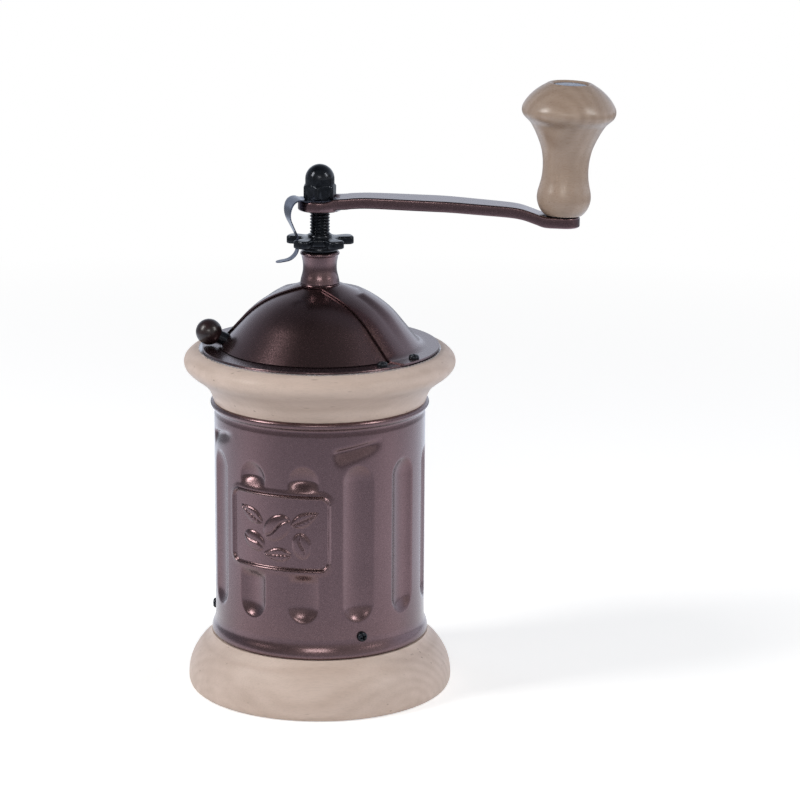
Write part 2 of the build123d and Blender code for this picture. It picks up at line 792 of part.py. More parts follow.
with BuildPart() as panel_pocket:
    with BuildSketch(Plane.XY.offset(lid_ring_top)):
        Circle(hood_flange_radius)
        Circle(panel_inner_radius + lid_sheet, mode=Mode.SUBTRACT)
        Polygon(*pocket_wedge, align=None, mode=Mode.SUBTRACT)
    extrude(amount=far)
    add(panel_inside, mode=Mode.INTERSECT)

with BuildPart() as hood:
    add(hood_outside)
    add(raised_panel.part)
    add(hood_inside, mode=Mode.SUBTRACT)
    add(panel_pocket.part, mode=Mode.SUBTRACT)
    with BuildSketch(Plane.XY.offset(lid_ring_top)):
        Circle(hood_flange_radius)
        Polygon(*front_wedge(window_half_angle, window_apex), align=None, mode=Mode.SUBTRACT)
        Circle(dome_neck_radius)
        Circle(neck_stub_radius + fit_gap, mode=Mode.SUBTRACT)
        with Locations(*hood_screw_points):
            Circle(screw_radius + fit_gap, mode=Mode.SUBTRACT)
    extrude(amount=far, mode=Mode.INTERSECT)
hood.part.label = "hood"
export_step(hood.part, "parts/hood.step")

with BuildPart() as hood_screws:
    for angle in hood_screw_angles:
        add(pan_head_screw(Plane(origin=polar(hood_screw_radius, angle, flange_top)), screw_length))
hood_screws.part.label = "hood_screws"
export_step(hood_screws.part, "parts/hood_screws.step")

with BuildPart() as stop_screw:
    add(pan_head_screw(Plane(origin=stop_screw_point + Vector(0, 0, lid_ring_top)), screw_length))
stop_screw.part.label = "stop_screw"
export_step(stop_screw.part, "parts/stop_screw.step")

# ---------------------------------------------------------------- neck
neck_seat = hood_level + neck_ring_height
neck_top = neck_seat + neck_height
neck_shoulder = dome_points(door_depth + lid_sheet)[2][1] - door_gap
neck_bore = shaft_radius + running_gap
with BuildPart() as neck_ring:
    with BuildSketch(Plane.XY.offset(hood_level)):
        Circle(neck_radius + 0.2)
        Circle(neck_stub_radius + fit_gap, mode=Mode.SUBTRACT)
    extrude(amount=neck_ring_height)
neck_ring.part.label = "neck_ring"
export_step(neck_ring.part, "parts/neck_ring.step")

neck_thread_radius = neck_stub_radius - 0.6
with BuildPart() as neck_bushing:
    with BuildSketch(Plane.XZ):
        with BuildLine():
            Polyline(
                (neck_bore, neck_top),
                (neck_bore, neck_shoulder - neck_nut_height - 1),
                (neck_thread_radius, neck_shoulder - neck_nut_height - 1),
                (neck_thread_radius, neck_shoulder),
                (neck_stub_radius, neck_shoulder),
                (neck_stub_radius, neck_seat),
                (neck_radius, neck_seat),
                (neck_radius, neck_seat + 1),
            )
            Spline(
                (neck_radius, neck_seat + 1),
                (neck_radius - 0.65, neck_seat + 0.27 * neck_height),
                (neck_waist, neck_seat + 0.52 * neck_height),
                (neck_radius - 0.65, neck_seat + 0.82 * neck_height),
                (neck_radius, neck_top - 0.6),
            )
            Polyline((neck_radius, neck_top - 0.6), (neck_radius - 0.5, neck_top), (neck_bore, neck_top))
        make_face()
    revolve(axis=Axis.Z)
neck_bushing.part.label = "neck_bushing"
export_step(neck_bushing.part, "parts/neck_bushing.step")

with BuildPart() as neck_nut:
    with BuildSketch(Plane.XY.offset(neck_shoulder - neck_nut_height)):
        RegularPolygon(neck_nut_size / 2, 6, major_radius=False)
        Circle(neck_thread_radius + fit_gap, mode=Mode.SUBTRACT)
    extrude(amount=neck_nut_height)
neck_nut.part.label = "neck_nut"
export_step(neck_nut.part, "parts/neck_nut.step")

# ---------------------------------------------------------------- fineness adjuster
adjuster_bottom = neck_top + adjuster_gap
adjuster_plate = adjuster_bottom + adjuster_boss_height
adjuster_top = adjuster_plate + adjuster_thickness
with BuildPart() as adjuster_star:
    with BuildSketch(Plane.XY.offset(adjuster_bottom)):
        Circle(adjuster_boss_radius)
    extrude(amount=adjuster_boss_height)
    with BuildSketch(Plane.XY.offset(adjuster_plate)) as star:
        for i in range(adjuster_lobes):
            turn = adjuster_angle + 360 / adjuster_lobes * i
            corners = [
                (adjuster_core_radius, -adjuster_lobe_root / 2),
                (adjuster_radius, -adjuster_lobe_tip / 2),
                (2 * adjuster_radius, -adjuster_lobe_tip / 2),
                (2 * adjuster_radius, adjuster_lobe_tip / 2),
                (adjuster_radius, adjuster_lobe_tip / 2),
                (adjuster_core_radius, adjuster_lobe_root / 2),
                (0, 0),
            ]
            with Locations(Rotation(0, 0, turn)):
                Polygon(*corners, align=None)
        Circle(adjuster_radius, mode=Mode.INTERSECT)
        fillet(star.vertices().filter_by(lambda corner: hypot(corner.X, corner.Y) > 0.95 * adjuster_radius),
               adjuster_lobe_round)
        Circle(adjuster_core_radius)
    extrude(amount=adjuster_thickness)
    Cylinder(shaft_radius + fit_gap, far * 3, mode=Mode.SUBTRACT)
adjuster_star.part.label = "adjuster_star"
export_step(adjuster_star.part, "parts/adjuster_star.step")

# ---------------------------------------------------------------- crank arm
arm_bottom = adjuster_top + thread_length
arm_top = arm_bottom + arm_hub_thickness
nut_recess_radius = cap_nut_size / 2 / cos(radians(30)) + 0.3
seat_height = arm_top - arm_drop
tilt = radians(arm_end_tilt)
seat_plane = Plane(
    origin=(arm_length, 0, seat_height),
    x_dir=(cos(tilt), 0, -sin(tilt)),
    z_dir=(sin(tilt), 0, cos(tilt)),
)


def seat_point(reach, height):
    """Point in the arm's side view, from the knob's seat outwards and upwards."""
    point = seat_plane.from_local_coords((reach, 0, height))
    return (point.X, point.Z)


with BuildPart() as crank_arm:
    with BuildSketch(Plane.XZ):
        with BuildLine():
            bar = Spline(
                (0, arm_bottom + arm_thickness / 2 + fit_gap),
                *[(share * arm_length, arm_bottom + rise * arm_rise) for share, rise in arm_profile],
                seat_point(-knob_foot_radius, -arm_thickness / 2),
                tangents=((1, 0), (cos(tilt), -sin(tilt))),
            )
            Line(bar @ 1, seat_point(2 * arm_end_radius, -arm_thickness / 2))
        trace(line_width=arm_thickness)
    extrude(amount=arm_width, both=True)
    with BuildSketch():
        with BuildSketch(mode=Mode.PRIVATE) as ends:
            Circle(arm_width / 2)
            with Locations((arm_length, 0)):
                Circle(arm_end_radius)
        add(make_hull(ends.sketch.edges(), mode=Mode.PRIVATE))
    extrude(amount=2 * arm_bottom, mode=Mode.INTERSECT)
    with BuildSketch(Plane.XY.offset(arm_bottom)):
        Circle(arm_hub_radius)
    extrude(amount=arm_hub_thickness)
    with BuildSketch(Plane.XY.offset(arm_top)):
        Circle(nut_recess_radius)
    extrude(amount=arm_thickness, mode=Mode.SUBTRACT)
    with BuildSketch(Plane.XY.offset(arm_bottom)):
        Circle(shaft_radius + fit_gap)
    extrude(amount=2 * arm_thickness, both=True, mode=Mode.SUBTRACT)
    with BuildSketch(seat_plane):
        Circle(knob_axle_radius + fit_gap)
    extrude(amount=2 * arm_thickness, both=True, mode=Mode.SUBTRACT)
crank_arm.part.label = "crank_arm"
export_step(crank_arm.part, "parts/crank_arm.step")

# ---------------------------------------------------------------- latch spring
# A flat spring clamped by the cap nut, bent down and hooked between two lobes of the adjuster.
# Its leaf turns about the start of the bend, where a round end sits in the root's hollow end.
latch_plane = section_plane(latch_angle)
latch_middle = arm_top + latch_thickness / 2
latch_root_run = latch_root_bend * sin(radians(latch_root_turn))
latch_root_rise = latch_root_bend * (1 - cos(radians(latch_root_turn)))
latch_knee = (latch_eye_radius + 2 * latch_root_run, latch_middle + 2 * latch_root_rise)
with BuildPart() as latch_root:
    with BuildSketch(latch_plane):
        with BuildLine():
            seat = Line((0, latch_middle), (latch_eye_radius, latch_middle))
            rise = JernArc(seat @ 1, (1, 0), latch_root_bend, latch_root_turn)
            JernArc(rise @ 1, rise % 1, latch_root_bend, -latch_root_turn)
        trace(line_width=latch_thickness)
        with Locations(latch_knee):
            Circle(latch_thickness / 2 + running_gap, mode=Mode.SUBTRACT)
    extrude(amount=latch_root_width / 2, both=True)
    with BuildSketch(Plane.XY.offset(arm_top)):
        Circle(latch_eye_radius)
    extrude(amount=latch_thickness)
    with BuildSketch(Plane.XY.offset(arm_top)):
        Circle(shaft_radius + fit_gap)
    extrude(amount=latch_thickness, mode=Mode.SUBTRACT)
latch_root.part.label = "latch_root"
export_step(latch_root.part, "parts/latch_root.step")

leaf_taper_bottom = adjuster_top + 1
with BuildPart() as latch_leaf:
    with BuildSketch(latch_plane):
        with BuildLine():
            knee = JernArc(latch_knee, (1, 0), latch_knee_bend, -latch_knee_turn)
            side = JernArc(knee @ 1, knee % 1, latch_side_bend, latch_knee_turn - 90 - latch_lean)
            run = Line(side @ 1, side @ 1 + (side % 1) * latch_leaf_length)
            notch = JernArc(run @ 1, run % 1, latch_notch_bend, latch_lean)
            drop = Line(notch @ 1, ((notch @ 1).X, adjuster_plate - 0.2))
            hook = JernArc(drop @ 1, drop % 1, latch_hook_bend, latch_hook_turn)
            Line(hook @ 1, hook @ 1 + (hook % 1) * (latch_tip_reach - (hook @ 1).X))
        trace(line_width=latch_thickness)
        with Locations(latch_knee):
            Circle(latch_thickness / 2)
    extrude(amount=latch_root_width, both=True)
    with BuildSketch(outward_plane(latch_angle)):
        Polygon(
            (latch_root_width / 2, latch_knee[1] + latch_thickness),
            (latch_tip_width / 2, leaf_taper_bottom),
            (latch_tip_width / 2, 0),
            (-latch_tip_width / 2, 0),
            (-latch_tip_width / 2, leaf_taper_bottom),
            (-latch_root_width / 2, latch_knee[1] + latch_thickness),
            align=None,
        )
    extrude(amount=far, mode=Mode.INTERSECT)
latch_leaf.part.label = "latch_leaf"
export_step(latch_leaf.part, "parts/latch_leaf.step")

# ---------------------------------------------------------------- cap nut
nut_seat = arm_top + latch_thickness
nut_hex_top = nut_seat + cap_nut_hex_height
nut_top = nut_seat + cap_nut_height
shaft_top = nut_top - 3.0
with BuildPart() as cap_nut:
    with BuildSketch(Plane.XY.offset(nut_seat)):
        RegularPolygon(cap_nut_size / 2, 6, major_radius=False, rotation=cap_nut_turn)
    extrude(amount=cap_nut_hex_height)
    with BuildSketch(Plane.XZ):
        with BuildLine():
            dome_side = nut_top - cap_nut_dome_radius
            Line((0, nut_hex_top), (cap_nut_dome_radius, nut_hex_top))
            Line((cap_nut_dome_radius, nut_hex_top), (cap_nut_dome_radius, dome_side))
            RadiusArc((cap_nut_dome_radius, dome_side), (0, nut_top), -cap_nut_dome_radius)
            Line((0, nut_top), (0, nut_hex_top))
        make_face()
    revolve(axis=Axis.Z)
    with BuildSketch(Plane.XY.offset(nut_seat)):
        Circle(shaft_radius + fit_gap)
    extrude(amount=shaft_top - nut_seat + 0.3, mode=Mode.SUBTRACT)
cap_nut.part.label = "cap_nut"
export_step(cap_nut.part, "parts/cap_nut.step")

# ---------------------------------------------------------------- shaft
burr_nut_bottom = inner_burr_bottom - burr_nut_height
with BuildPart() as shaft:
    with BuildSketch(Plane.XZ):
        with BuildLine():
            Polyline(
                (0, bridge_hub_bottom - 1),
                (journal_radius, bridge_hub_bottom - 1),
                (journal_radius, burr_nut_bottom),
                (shaft_radius, burr_nut_bottom),
                (shaft_radius, shaft_top - 0.8),
                (shaft_radius - 0.8, shaft_top),
                (0, shaft_top),
                close=True,
            )
        make_face()
    revolve(axis=Axis.Z)
shaft.part.label = "shaft"
export_step(shaft.part, "parts/shaft.step")

with BuildPart() as burr_nut:
    with BuildSketch(Plane.XY.offset(burr_nut_bottom)):
        RegularPolygon(burr_nut_size / 2, 6, major_radius=False)
        Circle(shaft_radius + fit_gap, mode=Mode.SUBTRACT)
    extrude(amount=burr_nut_height)
burr_nut.part.label = "burr_nut"
export_step(burr_nut.part, "parts/burr_nut.step")

# ---------------------------------------------------------------- hand knob
knob_foot = knob_washer_height + running_gap
knob_axis_line = Axis(seat_plane.origin, seat_plane.z_dir)
with BuildPart() as knob_washer:
    with BuildSketch(seat_plane):
        Circle(knob_washer_radius)
        Circle(knob_axle_radius + fit_gap, mode=Mode.SUBTRACT)
    extrude(amount=knob_washer_height)
knob_washer.part.label = "knob_washer"
export_step(knob_washer.part, "parts/knob_washer.step")

knob_section = Plane(origin=seat_plane.offset(knob_foot).origin, x_dir=seat_plane.x_dir, z_dir=(0, -1, 0))
with BuildPart() as hand_knob:
    with BuildSketch(knob_section):
        with BuildLine():
            stem = Spline(
                (knob_foot_radius, 0),
                (knob_belly_radius, 0.12 * knob_height),
                (knob_waist_radius, 0.35 * knob_height),
                (knob_waist_radius + 2.5, 0.57 * knob_height),
                (knob_cap_radius - 1.0, 0.745 * knob_height),
                tangents=((0.4, 1), (1, 1.1)),
            )
            lip = ThreePointArc(
                stem @ 1, (knob_cap_radius, 0.78 * knob_height), (knob_cap_radius - 1.1, 0.842 * knob_height)
            )
            crown = Spline(
                lip @ 1,
                (knob_cap_radius - 4.0, 0.915 * knob_height),
                (knob_crown_radius, knob_height),
                tangents=((-0.55, 1), (-1, 0.55)),
            )
            Polyline(
                crown @ 1,
                (knob_recess_radius, knob_height),
                (knob_recess_radius, knob_height - knob_recess_depth),
                (knob_axle_radius + running_gap, knob_height - knob_recess_depth),
                (knob_axle_radius + running_gap, 0),
                (knob_foot_radius, 0),
            )
        make_face()
    revolve(axis=knob_axis_line)
hand_knob.part.label = "hand_knob"
export_step(hand_knob.part, "parts/hand_knob.step")

head_seat = knob_foot + knob_height - knob_recess_depth + 3 * running_gap
with BuildPart() as knob_axle:
    with BuildSketch(seat_plane.offset(-arm_thickness)):
        Circle(knob_axle_radius)
    extrude(amount=arm_thickness + head_seat)
    with BuildSketch(seat_plane.offset(head_seat)):
        Circle(knob_axle_head_radius)
    extrude(amount=knob_axle_head_height)
    fillet(knob_axle.edges().group_by(Axis.Z)[-1], knob_axle_head_height * 0.6)
knob_axle.part.label = "knob_axle"
export_step(knob_axle.part, "parts/knob_axle.step")
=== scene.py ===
from math import acos, asin, atan2, copysign, cos, degrees, pi, radians, sin, tan

import bpy
import numpy as np
from mathutils import Matrix, Vector
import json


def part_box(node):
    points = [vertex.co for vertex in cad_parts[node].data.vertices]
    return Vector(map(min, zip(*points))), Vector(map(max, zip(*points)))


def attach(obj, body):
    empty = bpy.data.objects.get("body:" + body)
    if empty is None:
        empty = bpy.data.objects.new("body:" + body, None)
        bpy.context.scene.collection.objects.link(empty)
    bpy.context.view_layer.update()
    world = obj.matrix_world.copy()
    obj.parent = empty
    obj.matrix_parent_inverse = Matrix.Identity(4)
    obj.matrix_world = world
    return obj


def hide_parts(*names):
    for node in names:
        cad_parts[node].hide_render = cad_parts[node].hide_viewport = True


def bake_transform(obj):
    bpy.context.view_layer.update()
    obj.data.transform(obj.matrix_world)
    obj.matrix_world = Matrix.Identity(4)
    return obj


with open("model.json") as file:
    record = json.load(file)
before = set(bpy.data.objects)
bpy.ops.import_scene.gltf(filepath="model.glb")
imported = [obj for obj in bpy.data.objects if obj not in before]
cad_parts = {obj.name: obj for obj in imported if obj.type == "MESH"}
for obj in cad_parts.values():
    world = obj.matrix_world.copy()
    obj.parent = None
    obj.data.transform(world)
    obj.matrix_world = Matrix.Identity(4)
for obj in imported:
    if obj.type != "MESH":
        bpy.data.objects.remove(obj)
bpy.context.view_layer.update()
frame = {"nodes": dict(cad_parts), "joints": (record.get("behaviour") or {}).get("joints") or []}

# Lengths are in millimetres until a mesh is made; angles in plan are in degrees from +X.
MM = 0.001


# -------- places read from the CAD nodes
def low(node):
    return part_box(node)[0] / MM


def high(node):
    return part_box(node)[1] / MM


def middle(node):
    return (low(node) + high(node)) / 2


def joint(name):
    return next(j for j in frame["joints"] if j["name"] == name)


def plan(radius, angle):
    """x and y at a plan radius and angle; both may be arrays."""
    return radius * np.cos(np.radians(angle)), radius * np.sin(np.radians(angle))


SHEET = 0.6  # thickness of the painted sheet of the body, hood and door
BASE_LEDGE = low("body_shell").z
BODY_TOP = high("body_shell").z
RING_TOP = high("top_ring").z
LID_BOTTOM, LID_TOP = low("lid_ring").z, high("lid_ring").z
FLANGE_TOP = LID_TOP + SHEET
HOOD_LEVEL = low("neck_ring").z
NECK_SEAT = high("neck_ring").z
NECK_GAP = 0.1  # clear height between the neck's rim and the star nut
NECK_TOP = low("adjuster_star").z - NECK_GAP
FRONT = -114.0  # plan angle of the plaque's middle
WINDOW = FRONT - 3.75  # plan angle of the door opening's middle
LATCH_PLACE = joint("latch_release")["pos_m"]
LATCH = degrees(atan2(LATCH_PLACE[1], LATCH_PLACE[0]))


# -------- shape helpers
def smoothstep(edge_a, edge_b, x):
    """Rise from 0 to 1 between two edges, level at both."""
    t = np.clip((x - edge_a) / (edge_b - edge_a), 0.0, 1.0)
    return t * t * (3 - 2 * t)


def soft_min(a, b, blend):
    """Smaller of two heights with a rounded meeting of that width."""
    h = np.clip(0.5 + 0.5 * (b - a) / blend, 0.0, 1.0)
    return b + (a - b) * h - blend * h * (1 - h)


def soft_max(a, b, blend):
    return -soft_min(-a, -b, blend)


def bisect(inside, near, far):
    """Last value between near and far for which inside() still holds."""
    for _ in range(30):
        half = (near + far) / 2
        hit = inside(half)
        near, far = np.where(hit, half, near), np.where(hit, far, half)
    return near


def off(angle, centre):
    """Turn from one plan angle to another by the short way, in radians."""
    return np.radians((angle - centre + 180.0) % 360.0 - 180.0)


def rotated(v, angle):
    """Section vector turned by an angle in radians."""
    c, s = cos(angle), sin(angle)
    return np.array([v[0] * c - v[1] * s, v[0] * s + v[1] * c])


def curve(points, steps):
    """Smooth line through points, with each stretch between them divided into steps."""
    pts = [np.array(p, float) for p in points]
    pts = [2 * pts[0] - pts[1], *pts, 2 * pts[-1] - pts[-2]]
    line = []
    for p0, p1, p2, p3 in zip(pts, pts[1:], pts[2:], pts[3:]):
        for k in range(steps):
            t = k / steps
            line.append(0.5 * ((2 * p1) + (p2 - p0) * t + (2 * p0 - 5 * p1 + 4 * p2 - p3) * t * t
                               + (3 * p1 - p0 - 3 * p2 + p3) * t ** 3))
    return [tuple(p) for p in line + [pts[-2]]]


def raised(points, level):
    """Section points of (radius, height) with a level added to each height."""
    return [(radius, level + height) for radius, height in points]


def arc(centre, radius, from_angle, to_angle, steps):
    """Points on a circle's arc, in the section plane."""
    return [(centre[0] + radius * cos(a), centre[1] + radius * sin(a))
            for a in np.radians(np.linspace(from_angle, to_angle, steps + 1))]


def strip_line(start, heading, moves):
    """Points along straight runs and tangent arcs, from moves of (length,) or (radius, turn)."""
    points, way = [start], heading
    for length, *turns in moves:
        if not turns:
            points.append(points[-1] + rotated((length, 0), radians(way)))
        for turn in turns:
            side = copysign(90.0, turn)
            centre = points[-1] + rotated((length, 0), radians(way + side))
            steps = max(3, int(abs(turn) / 6))
            points += arc(centre, length, way - side, way - side + turn, steps)[1:]
            way += turn
    return points


# -------- mesh helpers
def make_piece(name, verts, faces, body, nodes, slot, crease=40.0):
    """A mesh in millimetres becomes a piece that rides on a body and stands for CAD nodes."""
    mesh = bpy.data.meshes.new(name)
    mesh.from_pydata([tuple(float(c) * MM for c in v) for v in verts], [], faces)
    mesh.validate()
    mesh.update()
    piece = bpy.data.objects.new(name, mesh)
    bpy.context.scene.collection.objects.link(piece)
    for polygon in mesh.polygons:
        polygon.use_smooth = True
    mesh.set_sharp_from_angle(angle=radians(crease))
    mesh.materials.append(MATERIALS[slot])
    if nodes:
        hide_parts(*nodes)
    if body:
        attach(piece, body)
    return piece


def full_turn(columns):
    """Plan angles of columns spaced evenly all round."""
    return np.arange(columns) * 360.0 / columns


def polar_grid(radius, angle, height):
    """Points of a grid from radii, plan angles and heights, each a number or an array."""
    radius, angle, height = np.broadcast_arrays(radius, angle, height)
    return np.stack([*plan(radius, angle), height], axis=-1)


def ring_verts(rows, columns):
    """Points of rings, from rows of (radius, height) whose radius may vary round the ring."""
    return np.concatenate([polar_grid(r, full_turn(columns), z) for r, z in rows])


def ring_faces(rows, columns, offset=0, close_rows=True):
    """Quads of a grid that closes round its columns and, if asked, round its rows."""
    faces = []
    for i in range(rows if close_rows else rows - 1):
        a = offset + i * columns
        b = offset + ((i + 1) % rows) * columns
        for j in range(columns):
            k = (j + 1) % columns
            faces.append((a + j, a + k, b + k, b + j))
    return faces


def lathe(name, outline, body, nodes, slot, columns, tilt=None):
    """Turned piece: a closed outline of (radius, height) spun round an upright axis.
    A point at radius 0 becomes a single vertex. tilt is a matrix that then places the piece."""
    verts, index = [], []
    turns = np.linspace(0, 2 * pi, columns, endpoint=False)
    for radius, height in outline:
        count = columns if radius > 1e-6 else 1
        index += [len(verts) + j % count for j in range(columns)]
        verts += [(radius * cos(t), radius * sin(t), height) for t in turns[:count]]
    clear_of_axis = len(verts) == len(index)
    faces = [tuple(dict.fromkeys(index[v] for v in face))
             for face in ring_faces(len(outline), columns, close_rows=clear_of_axis)]
    if tilt is not None:
        verts = [tuple(tilt @ Vector(v)) for v in verts]
    return make_piece(name, verts, faces, body, nodes, slot)


def shell(name, top, bottom, body, nodes, slot, crease, wrap=True, active=None):
    """Piece between two grids of points, (rows, columns, 3), that may close round their columns.
    active says which cells are there; a wall closes each cell's edge that has no neighbour."""
    top, bottom = np.array(top), np.array(bottom)
    rows, columns = top.shape[:2]
    count = rows * columns
    spans = columns if wrap else columns - 1
    if active is None:
        active = np.ones((rows - 1, spans), bool)
    there = np.pad(active, 1)
    if wrap:
        there[:, 0], there[:, -1] = there[:, -2], there[:, 1]
    verts = np.concatenate([top.reshape(-1, 3), bottom.reshape(-1, 3)])
    faces = []
    for i in range(rows - 1):
        for j in range(spans):
            if not active[i, j]:
                continue
            a, b = i * columns + j, i * columns + (j + 1) % columns
            c, d = b + columns, a + columns
            faces += [(a, b, c, d), (count + d, count + c, count + b, count + a)]
            for neighbour, p, q in ((there[i, j + 1], b, a), (there[i + 2, j + 1], d, c),
                                    (there[i + 1, j], a, d), (there[i + 1, j + 2], c, b)):
                if not neighbour:
                    faces.append((p, q, count + q, count + p))
    used = sorted({v for f in faces for v in f})
    renumber = {old: new for new, old in enumerate(used)}
    faces = [tuple(renumber[v] for v in f) for f in faces]
    return make_piece(name, verts[used], faces, body, nodes, slot, crease)


# -------- node helpers
def new_material(name):
    material = bpy.data.materials.new(name)
    material.use_nodes = True
    tree = material.node_tree
    return material, tree, tree.nodes["Principled BSDF"]


def add_node(tree, kind, inputs=None, **settings):
    node = tree.nodes.new("ShaderNode" + kind)
    for key, value in settings.items():
        setattr(node, key, value)
    for key, value in (inputs or {}).items():
        if isinstance(value, bpy.types.NodeSocket):
            tree.links.new(value, node.inputs[key])
        else:
            node.inputs[key].default_value = value
    return node


def maths(tree, operation, *values):
    return add_node(tree, "Math", dict(enumerate(values)), operation=operation).outputs[0]


def vector_maths(tree, operation, *values):
    return add_node(tree, "VectorMath", dict(enumerate(values)), operation=operation)


def split_vector(tree, vector):
    return add_node(tree, "SeparateXYZ", {"Vector": vector}).outputs


def map_range(tree, value, from_min, from_max, to_min=0.0, to_max=1.0):
    return add_node(tree, "MapRange", {"Value": value, "From Min": from_min, "From Max": from_max,
                                       "To Min": to_min, "To Max": to_max}).outputs[0]


def mapped(tree, scale=(1, 1, 1), turn=(0, 0, 0), shift=(0, 0, 0)):
    """Object coordinates, in metres, scaled, turned and moved."""
    place = add_node(tree, "TexCoord").outputs["Object"]
    settings = {"Vector": place, "Scale": scale, "Rotation": [radians(a) for a in turn],
                "Location": shift}
    return add_node(tree, "Mapping", settings).outputs["Vector"]


def noise(tree, vector, scale, detail=2.0, roughness=0.5):
    settings = {"Vector": vector, "Scale": scale, "Detail": detail, "Roughness": roughness}
    return add_node(tree, "TexNoise", settings).outputs["Fac"]


def ramp(tree, factor, *stops):
    """Colour ramp with stops of (position, colour), where a plain number is a grey."""
    node = add_node(tree, "ValToRGB", {"Fac": factor})
    elements = node.color_ramp.elements
    while len(elements) < len(stops):
        elements.new(0.5)
    for element, (position, colour) in zip(elements, stops):
        element.position = position
        element.color = (*(colour if isinstance(colour, tuple) else (colour,) * 3), 1)
    return node.outputs["Color"]


def mix(tree, factor, a, b, blend_type="MIX"):
    node = add_node(tree, "Mix", data_type="RGBA", blend_type=blend_type)
    for key, value in (("Factor", factor), ("A", a), ("B", b)):
        socket = next(s for s in node.inputs if s.name == key and s.enabled)
        if isinstance(value, bpy.types.NodeSocket):
            tree.links.new(value, socket)
        else:
            socket.default_value = value if key == "Factor" else (*value, 1)
    return next(s for s in node.outputs if s.enabled)


def shade(tree, colour, factor, *stops):
    """Colour multiplied by a ramp."""
    return mix(tree, 1.0, colour, ramp(tree, factor, *stops), "MULTIPLY")


def set_values(shader, **values):
    for key, value in values.items():
        shader.inputs[key.replace("_", " ")].default_value = value


def set_finish(tree, shader, colour, rough, relief, strength, distance=0.0001):
    """Colour and roughness from nodes, and a bump of that strength and depth in metres."""
    settings = {"Height": relief, "Strength": strength, "Distance": distance}
    tree.links.new(colour, shader.inputs["Base Color"])
    tree.links.new(rough, shader.inputs["Roughness"])
    tree.links.new(add_node(tree, "Bump", settings).outputs["Normal"], shader.inputs["Normal"])


# -------- materials
def bronze_paint(name):
    """Metallic brown enamel: fine flake grain under a satin gloss."""
    material, tree, shader = new_material(name)
    place = mapped(tree)
    flakes = noise(tree, place, 5200, 1)
    grain = noise(tree, place, 1500, 2, 0.6)
    clouds = noise(tree, place, 60, 3)
    colour = ramp(tree, flakes, (0.30, (0.105, 0.060, 0.064)), (0.55, (0.152, 0.093, 0.100)),
                  (0.78, (0.232, 0.147, 0.155)))
    colour = shade(tree, colour, grain, (0.30, 0.86), (0.70, 1.0))
    colour = shade(tree, colour, clouds, (0.3, 0.93), (0.7, 1.0))
    rough = ramp(tree, grain, (0.25, 0.23), (0.75, 0.29))
    set_finish(tree, shader, colour, rough, noise(tree, place, 2400), 0.05)
    set_values(shader, Metallic=0.94, Coat_Weight=0.3, Coat_Roughness=0.14)
    return material


def metal(name, dark, light, rough, texture, metallic=1.0, tone_end=0.7, relief=(0.04, 0.0001),
          stretch=1.0, **values):
    """Metal with textures of (scale, detail) for its tone, its roughness and its relief.
    relief is the bump's (strength, depth); a stretch under 1 draws tone and bump out upright."""
    material, tree, shader = new_material(name)
    tone, gloss, grain = (noise(tree, mapped(tree, scale=(1, 1, drawn)), *settings)
                          for settings, drawn in zip(texture, (stretch, 1.0, stretch)))
    set_finish(tree, shader, ramp(tree, tone, (0.3, dark), (tone_end, light)),
               ramp(tree, gloss, (0.3, rough[0]), (0.7, rough[1])), grain, *relief)
    set_values(shader, Metallic=metallic, **values)
    return material


def bare_metal(name, dark, light, rough, metallic=1.0, grain=900, relief=0.15):
    """Plain metal with machining or casting texture."""
    return metal(name, dark, light, (rough * 0.8, rough * 1.2),
                 ((grain, 4), (grain / 3, 3), (grain, 3)), metallic, relief=(relief, 0.0002))


def blackened_steel(name):
    """Blackened, oiled steel with a bluish cast."""
    return metal(name, (0.006, 0.0075, 0.011), (0.020, 0.024, 0.032), (0.14, 0.24),
                 ((700, 3), (300,), (1200,)), 0.5, 0.75, Specular_IOR_Level=0.4)


def spring_steel(name):
    """Blued spring strip, with fine upright streaks."""
    return metal(name, (0.070, 0.082, 0.125), (0.135, 0.155, 0.215), (0.20, 0.30),
                 ((1800,), (500, 3), (1800,)), 0.95, stretch=0.05)


GROWTH_RING = 0.0042  # metres from one growth ring of the beech to the next
RING_WAVER = 0.006  # metres that a ring strays from a true circle


